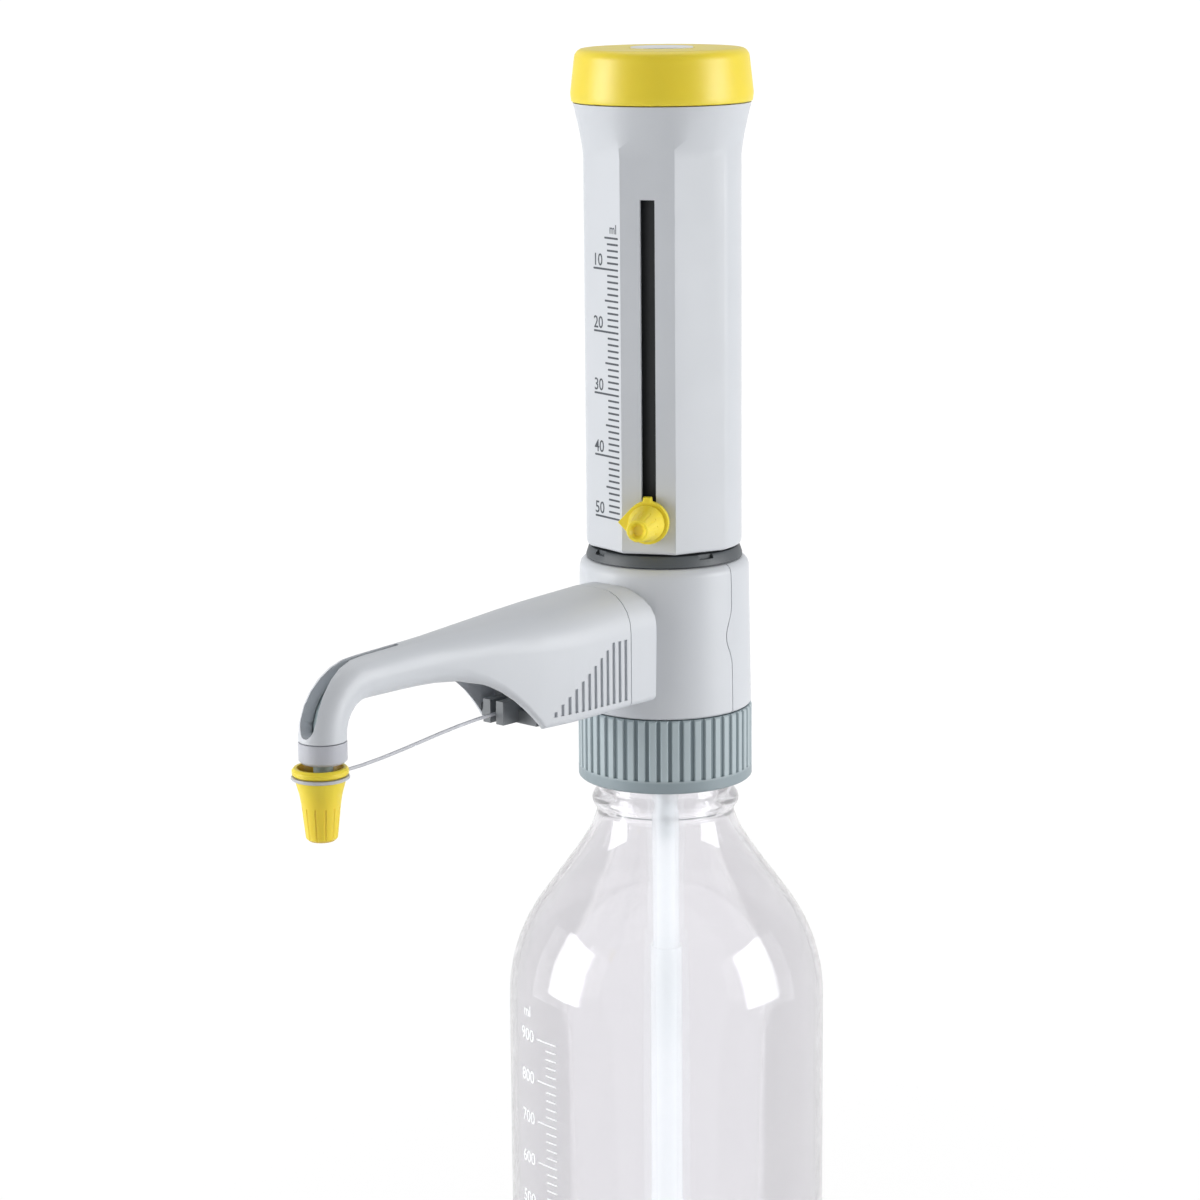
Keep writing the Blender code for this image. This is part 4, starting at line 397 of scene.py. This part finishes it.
def steel():
    """Turned steel with fine rings round its axis."""
    recipe = Recipe("steel")
    around = recipe.noise(1500, 2, recipe.stretched((0.05, 0.05, 1.0)))
    return recipe.principled(
        Base_Color=recipe.blend(around, srgb(176, 177, 179), srgb(198, 198, 199)),
        Roughness=around * 0.2 + 0.22, Normal=recipe.bump(around, 0.00002), Metallic=1.0,
    )


def print_ink(name, tone, paler):
    """Printed ink or fired enamel that is worn in small spots."""
    recipe = Recipe(name)
    worn = recipe.noise(1800, 3, rough=0.7)
    return recipe.principled(
        Base_Color=recipe.blend((worn > 0.62) * 0.5, tone, paler),
        Roughness=worn * 0.2 + 0.4, Normal=recipe.bump(worn, 0.00001),
    )


finishes["glass"] = glass()
finishes["clear_tube"] = drawn_tube("clear_tube", srgb(182, 206, 210), srgb(206, 222, 225), 0.35, 0.14)
finishes["sleeve_tube"] = drawn_tube("sleeve_tube", srgb(192, 194, 202), srgb(206, 208, 215), 0.15, 0.3)
# Painted light: the filling tubes glow faintly, though they are no lamp, so that they look bright behind the
# glass.
finishes["filling_tube"] = drawn_tube("filling_tube", srgb(250, 253, 254), srgb(253, 254, 255), 0.75, 0.4,
                                      Emission_Color=(0.96, 0.99, 1.0), Emission_Strength=0.07)
finishes["steel"] = steel()
finishes["ceramic"] = plastic("ceramic", srgb(232, 228, 218), srgb(240, 237, 230), 0.2, 0.000005, 0.04)
finishes["ink"] = print_ink("ink", srgb(46, 54, 64), srgb(84, 90, 98))
finishes["enamel"] = print_ink("enamel", srgb(246, 247, 249), srgb(232, 234, 238))

# %% [markdown]
# ## Dressing the solids
# Every node of the frame first gets the procedural finish of its own slot, also those inside.
# The safety ring and the nozzle's sleeve have tones of their own. The holder of the strap is a darker
# grey as painted shade, for it lies in shadow under the arm, and the tip cap's finish has painted
# shade in its grooves and mouth.

# %% Finish for each node
own_tone_and_shade = {"safety_ring": "ring_plastic", "nozzle_sleeve": "sleeve_tube", "cap_holder": "holder_shade_plastic",
            "tip_cap": "tip_plastic"}
slot_of = {}
for name, node in nodes.items():
    slot_of[name] = node.data.materials[0].name.split(".")[0]
    node.data.materials[0] = finishes[own_tone_and_shade.get(name, slot_of[name])]
print({slot: sum(1 for value in slot_of.values() if value == slot) for slot in sorted(set(slot_of.values()))})

# %% [markdown]
# ## Refined mouldings
# A CAD solid comes as loose triangles with knife edges. No moulded part has such edges: they catch
# the light in a thin line. A copy of each solid in view is merged to one skin, its flat faces are
# joined again, and a small bevel rounds what is steeper than the bend of its round walls. Normals
# weighted by the faces' areas keep the large faces flat in the light right up to the rounding.


# %% Refine a copy of a solid
SHARP_DEGREES = 36
FLAT_DEGREES = 0.6


def refined(node_name, bevel):
    """A merged, bevelled and smoothly shaded copy that stands for the node. The bevel is in mm."""
    node = nodes[node_name]
    only(node)
    bpy.ops.object.duplicate()
    piece = bpy.context.object
    piece.name = node_name + "_moulded"
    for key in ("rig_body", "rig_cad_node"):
        if key in piece:
            del piece[key]
    piece.parent = None
    bpy.ops.mesh.customdata_custom_splitnormals_clear()
    edit(piece)
    bpy.ops.mesh.remove_doubles(threshold=2e-6)
    bpy.ops.mesh.dissolve_limited(angle_limit=math.radians(FLAT_DEGREES), delimit={"NORMAL"})
    done(piece)
    if bevel:
        with_modifier(piece, "BEVEL", width=bevel * MM, segments=2, limit_method="ANGLE",
                      angle_limit=math.radians(SHARP_DEGREES), use_clamp_overlap=True, harden_normals=False)
    smooth(piece, SHARP_DEGREES)
    if bevel:
        with_modifier(piece, "WEIGHTED_NORMAL", keep_sharp=True)
    bodies = frame["record"]["behaviour"]["bodies"]
    body = next(name for name, members in bodies.items() if node_name in members)
    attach(piece, body)
    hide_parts(node_name)
    return piece


mouldings = {
    "front_casing": 0.3, "rear_casing": 0.3, "housing": 0.4, "spout_housing": 0.25, "top_cap": 0.4,
    "threaded_collar": 0.2, "safety_ring": 0.2, "cap_holder": 0.2, "air_vent_cap": 0.25,
    "volume_pointer": 0.3, "pointer_knob": 0.2, "tip_cap": 0.2, "cap_strap": 0.0, "cap_disc": 0.2,
    "collar_retainer": 0.15, "pointer_block": 0.15, "stop_ring": 0.2, "cylinder_sleeve": 0.2,
    "nozzle_sleeve": 0.2, "discharge_tube": 0.0,
}
for node_name, width in mouldings.items():
    piece = refined(node_name, width)
    print("moulding", node_name, len(piece.data.polygons), "faces")

# %% [markdown]
# ## Bottle
# The bottle is one blown wall of even thickness. The solid's wall has few sides, which glass shows
# as bands, so it is turned anew with 256 sides: up the outside, over the rim and down the inside.
# The ring under the thread is what the glass maker holds the neck by, and is half round.

# %% Bottle outline
WALL = 2.2
HEEL = (42.5, 8)
HEEL_RADIUS = 8
SHOULDER = (-4.5, 131.98)
SHOULDER_RADIUS = 55
outside = [(0.02, 0.9), (34, 1.4), (38.6, 0.7), (40.5, 0.0), (42.5, 0.0)]
outside += arc(*HEEL, HEEL_RADIUS, -80, 0, 8)
outside += arc(*SHOULDER, SHOULDER_RADIUS, 0, 36, 14)
outside += [(30, 178.06), (26.5, 183.1), (24.2, 187.0), (22.9, 190.0), (22.0, 192.6), (21.7, 194.2)]
outside += [(22.0, 195.0), (22.7, 195.7), (23.2, 196.6), (23.3, 197.6), (23.1, 198.6), (22.4, 199.5),
            (21.4, 200.2), (20.8, 200.9), (20.6, 201.8)]
outside += [(20.6, 224.0)] + arc(19.6, 224, 1, 18, 90, 4)
inside = [(17.3, 225.0), (16.95, 224.85), (16.8, 224.5), (16.8, 202.0), (17.4, 197.5), (18.4, 193.6)]
inside += [(20.4, 189.4), (23.9, 182.9), (27.2, 178.2)]
inside += arc(*SHOULDER, SHOULDER_RADIUS - WALL, 36, 0, 14)
inside += arc(*HEEL, HEEL_RADIUS - WALL, 0, -80, 8)
inside += [(41.5, 3.0), (38.0, 3.2), (34, 3.6), (0.02, 3.1)]
bottle = turned("bottle_glass_blown", outside + inside, 256)
bottle.data.materials.append(finishes["glass"])
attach(bottle, "bottle")
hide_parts("bottle_glass")
print("bottle faces", len(bottle.data.polygons))

# %% [markdown]
# ## Screw thread of the neck
# The neck carries a rounded rib that climbs 4 mm a turn. A small circle gives the rib's section
# and a Screw modifier carries it up the neck for two and a half turns.

# %% Thread
PITCH = 4
TURNS = 2.5
nothing_selected()
bpy.ops.mesh.primitive_circle_add(vertices=10, radius=1.25 * MM, location=(20.75 * MM, 0, 207 * MM),
                                  rotation=(math.radians(90), 0, 0))
thread = fixed(bpy.context.object)
thread.name = "neck_thread"
with_modifier(thread, "SCREW", angle=math.radians(360 * TURNS), screw_offset=PITCH * TURNS * MM,
              steps=120, render_steps=120, axis="Z", use_smooth_shade=True)
edit(thread)
bpy.ops.mesh.select_all(action="DESELECT")
bpy.ops.mesh.select_mode(type="EDGE")
bpy.ops.mesh.select_non_manifold()
bpy.ops.mesh.edge_face_add()
smooth(done(thread), 50)
thread.data.materials.append(finishes["glass"])
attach(thread, "bottle")
print("thread faces", len(thread.data.polygons))

# %% [markdown]
# ## Printed marks
# Both scales are printed: dark ink on the housing's flat facet, white enamel on the round glass.
# A material could hold ticks, but not clean figures, so the marks are thin meshes. Each tick is
# modelled anew by one helper, and the figures are text turned into a mesh and laid on the surface.


# %% Mark helpers
PRINT_THICK = 0.03
PRINT_LIFT = PRINT_THICK / 2
CAPITAL_SHARE = 0.72
NARROWING = 0.92


def tick(width, height, place):
    """A thin printed bar with rounded ends, with its right end at the given place."""
    nothing_selected()
    bpy.ops.mesh.primitive_plane_add(size=1, location=(-width * MM / 2, 0, 0))
    bar = bpy.context.object
    bar.name = "tick"
    bar.scale = (width * MM, height * MM, 1)
    fixed(bar)
    edit(bar)
    bpy.ops.mesh.bevel(offset=height * 0.42 * MM, segments=3, affect="VERTICES")
    bpy.ops.mesh.extrude_region_move(TRANSFORM_OT_translate={"value": (0, 0, PRINT_THICK * MM)})
    done(bar)
    bar.matrix_world = place
    return fixed(bar)


def figure(name, words, height, place):
    """Printed figures of one height, centred on the place, as a mesh. The face is a little narrow."""
    nothing_selected()
    bpy.ops.object.text_add()
    text = bpy.context.object
    text.name = name
    text.data.body = words
    text.data.size = height * MM / CAPITAL_SHARE
    text.data.align_x = "CENTER"
    text.data.resolution_u = 3
    text.data.offset = 0.05 * MM
    text.data.extrude = PRINT_THICK * MM / 2
    bpy.ops.object.convert(target="MESH")
    text = bpy.context.object
    text.matrix_world = place @ Matrix.Diagonal((NARROWING, 1, 1, 1))
    fixed(text)
    edit(text)
    return done(text)


def joined(name, parts, finish, body):
    """One piece from many marks."""
    nothing_selected()
    for part in parts:
        part.select_set(True)
    bpy.context.view_layer.objects.active = parts[0]
    bpy.ops.object.join()
    piece = bpy.context.object
    piece.name = name
    piece.data.materials.clear()
    piece.data.materials.append(finishes[finish])
    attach(piece, body)
    print(name, len(piece.data.polygons), "faces")
    return piece


# %% [markdown]
# ## Volume scale
# The pointer stands at 50 ml, and 96 mm higher it would stand at nothing. The scale runs from 5 to
# 50 ml in steps of one, with longer ticks at 5 and the longest at 10, which carry the figures.

# %% Volume scale
azimuth = math.radians(169.2)
outward = Vector((math.cos(azimuth), math.sin(azimuth), 0))
along = Vector((-math.sin(azimuth), math.cos(azimuth), 0))
facet = Matrix((along, (0, 0, 1), outward)).transposed().to_4x4()
FACET_DISTANCE = 22.776
POINTER_HEIGHT = 290.3
STROKE = 96
LEAST, MOST = 5, 50
PER_ML = STROKE / MOST


def on_facet(across, height, lift=0.0):
    """A frame on the facet, with places in millimetres."""
    point = (outward * (FACET_DISTANCE + lift) + along * across + Vector((0, 0, height))) * MM
    return Matrix.Translation(point) @ facet


marks = []
for volume in range(LEAST, MOST + 1):
    height = POINTER_HEIGHT + (MOST - volume) * PER_ML
    width = 12.6 if volume % 10 == 0 else 6.9 if volume % 5 == 0 else 5.6
    marks.append(tick(width, 0.62, on_facet(7.5, height)))
    if volume % 10 == 0:
        marks.append(figure("figure", str(volume), 3.8, on_facet(-2.8, height + 0.95, PRINT_LIFT)))
top_height = POINTER_HEIGHT + (MOST - LEAST) * PER_ML
marks.append(figure("unit", "ml", 2.9, on_facet(5.0, top_height + 1.4, PRINT_LIFT)))
joined("volume_scale", marks, "ink", "piston_unit")

# %% [markdown]
# ## Filling scale of the bottle
# Laboratory glass has a fired white scale. The marks are laid flat before the bottle, and then
# every point's way across is made an angle, which rolls them onto the round wall unstretched.

# %% Bottle scale
BOTTLE_RADIUS = 50.5
SCALE_FOOT = 3.6
PER_HUNDRED = 13.64
toward = math.radians(166)
front = Vector((math.cos(toward), math.sin(toward), 0))
side = Vector((-math.sin(toward), math.cos(toward), 0))
upright = Matrix((side, (0, 0, 1), front)).transposed().to_4x4()


def round_bottle(piece):
    """Wrap flat marks round the wall: the way across becomes an angle."""
    only(piece)
    for vertex in piece.data.vertices:
        out = vertex.co.dot(front)
        across = vertex.co.dot(side)
        angle = toward + across / (BOTTLE_RADIUS * MM)
        vertex.co = Vector((out * math.cos(angle), out * math.sin(angle), vertex.co.z))


def before_bottle(across, height, lift=0.0):
    """An upright frame on the flat plane before the bottle, with places in millimetres."""
    point = (front * (BOTTLE_RADIUS + lift) + side * across + Vector((0, 0, height))) * MM
    return Matrix.Translation(point) @ upright


marks = []
for hundred in range(1, 10):
    height = SCALE_FOOT + hundred * PER_HUNDRED
    for part in range(5 if hundred < 9 else 1):
        # Each bar is laid in short pieces, so that it bends round the wall.
        width, pieces = (9.0, 3) if part == 0 else (4.5, 2)
        length = width / pieces
        for index in range(pieces):
            place = before_bottle(11 - index * length, height + part * PER_HUNDRED / 5)
            marks.append(tick(length + 0.3, 0.5, place))
    marks.append(figure("figure", str(hundred * 100), 4.2, before_bottle(-4.0, height - 1.9, PRINT_LIFT)))
marks.append(figure("unit", "ml", 3.6, before_bottle(-4.0, SCALE_FOOT + 9.45 * PER_HUNDRED, PRINT_LIFT)))
round_bottle(joined("filling_scale", marks, "enamel", "bottle"))

# %% [markdown]
# ## Filling tubes
# The upper tube hangs from the valve on its olive, and a wider one telescopes on it to reach the
# floor of any bottle. They are seen through two walls of glass, so they are turned with 48 sides.

# %% Filling tubes
TUBE_SIDES = 48
FOOT_CUT = math.radians(30)
low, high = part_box("filling_tube_upper")
foot, top = low[2] / MM, high[2] / MM
upper_tube = turned("filling_tube_upper_drawn", [
    (3.2, foot), (3.3, foot), (4.15, foot), (4.25, foot + 0.15),
    (4.25, top - 0.15), (4.1, top), (3.3, top), (3.2, top - 0.1)], TUBE_SIDES)
upper_tube.data.materials.append(finishes["filling_tube"])
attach(upper_tube, "valve_block")
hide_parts("filling_tube_upper")
low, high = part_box("filling_tube_lower")
foot, top = low[2] / MM, high[2] / MM
outer = (high[0] - low[0]) / 2 / MM
lower_tube = turned("filling_tube_lower_drawn", [
    (4.55, foot), (outer, foot), (outer, top - 0.2), (outer - 0.15, top),
    (4.65, top), (4.55, top - 0.1)], TUBE_SIDES)
edit(lower_tube)
bpy.ops.mesh.bisect(plane_co=(0, 0, low[2] + outer * MM * math.tan(FOOT_CUT)),
                    plane_no=(math.sin(FOOT_CUT), 0, math.cos(FOOT_CUT)),
                    clear_inner=True, use_fill=False)
bpy.ops.mesh.select_all(action="DESELECT")
bpy.ops.mesh.select_non_manifold()
bpy.ops.mesh.bridge_edge_loops()
done(lower_tube)
smooth(lower_tube)
lower_tube.data.materials.append(finishes["filling_tube"])
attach(lower_tube, "lower_tube")
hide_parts("filling_tube_lower")
print("tubes", len(upper_tube.data.polygons), len(lower_tube.data.polygons))

# %% [markdown]
# ## Camera
# The photograph was taken with a long lens from the front left and a little above. The camera's
# place comes from the known sizes in the picture: the bottle's width and the heights of its steps.

# %% Camera
SENSOR = 36
FOCAL_PIXELS = 3430
PICTURE_PIXELS = 1200
CAMERA_PLACE = (-0.7869, -0.7060, 0.4815)
camera = bpy.data.objects.new("camera", bpy.data.cameras.new("camera"))
bpy.context.scene.collection.objects.link(camera)
camera.data.sensor_width = SENSOR
camera.data.lens = SENSOR * FOCAL_PIXELS / PICTURE_PIXELS
camera.data.clip_end = 60
level = Vector((0.7314, 0.6820, 0)).normalized()
down, roll = math.radians(11.77), math.radians(-0.5)
view = level * math.cos(down) + Vector((0, 0, -1)) * math.sin(down)
right = view.cross((0, 0, 1)).normalized()
above = right.cross(view)
right, above = (right * math.cos(roll) + above * math.sin(roll),
                above * math.cos(roll) - right * math.sin(roll))
turn = Matrix((right, above, -view)).transposed().to_4x4()
camera.matrix_world = Matrix.Translation(CAMERA_PLACE) @ turn
bpy.context.scene.camera = camera

# %% [markdown]
# ## Studio
# The object stands on a plain white floor. Two large soft lamps at its sides model the round
# walls and leave the front a little darker, as in the photograph, and a third from above lights
# the tops. The white background is only what the camera, gloss and glass see. Through glass it is
# a little dimmer, so that the bottle stands out, and other rays meet a quarter of it as fill.


# %% Floor and world
nothing_selected()
bpy.ops.mesh.primitive_circle_add(vertices=96, radius=24, fill_type="NGON")
floor = bpy.context.object
floor.name = "studio_floor"
edit(floor)
bpy.ops.mesh.inset(thickness=16, depth=0)
bpy.ops.object.mode_set(mode="OBJECT")
recipe = Recipe("studio_floor")
cloth = recipe.noise(900, 3)
matte = recipe.add("ShaderNodeBsdfDiffuse", {}, {
    "Color": recipe.blend(cloth, srgb(230, 230, 231), srgb(236, 236, 237))})
glow = recipe.add("ShaderNodeEmission", {}, {
    "Color": recipe.blend(recipe.rays("Transmission"), (1.06, 1.06, 1.06), (0.95, 0.945, 0.955))})
# Near the object a fifth of the floor stays matte and takes its shadow.
near = 0.8 + 0.2 * recipe.length(recipe.place())
far = near.maths("MINIMUM", near, 1.0)
share = recipe.rays("Camera", "Glossy", "Transmission") * far
mixed = recipe.add("ShaderNodeMixShader", {}, {0: share, 1: matte, 2: glow})
floor.data.materials.append(recipe.closed(mixed))

world = bpy.data.worlds.new("studio")
bpy.context.scene.world = world
FILL = 0.25
GLOSS = 0.55
THROUGH_GLASS = 0.47
recipe = Recipe("studio", world)
strength = FILL + (1 - FILL) * recipe.rays("Camera") + GLOSS * recipe.rays("Glossy")
strength = strength + THROUGH_GLASS * recipe.rays("Transmission")
recipe.closed(recipe.add("ShaderNodeBackground", {}, {"Color": (1, 1, 1, 1), "Strength": strength}), "World")
print("studio", floor.name, world.name)


# %% Lamps
AIM = Vector((0, 0, 0.25))


def lamp(name, azimuth_degrees, elevation_degrees, distance, width, height, power):
    """A soft rectangular lamp that looks at the middle of the object."""
    data = bpy.data.lights.new(name, "AREA")
    data.shape = "RECTANGLE"
    data.size, data.size_y = width, height
    data.energy = power
    item = bpy.data.objects.new(name, data)
    bpy.context.scene.collection.objects.link(item)
    a, e = math.radians(azimuth_degrees), math.radians(elevation_degrees)
    away = Vector((math.cos(a) * math.cos(e), math.sin(a) * math.cos(e), math.sin(e)))
    item.location = AIM + away * distance
    item.rotation_euler = (-away).to_track_quat("-Z", "Y").to_euler()


lamp("soft_left", 142, 9, 1.5, 0.8, 0.9, 18.0)
lamp("soft_right", 296, 9, 1.5, 0.8, 0.9, 16.8)
lamp("soft_top", 40, 74, 1.6, 1.2, 1.2, 8.0)

bpy.context.scene.view_settings.view_transform = "Standard"
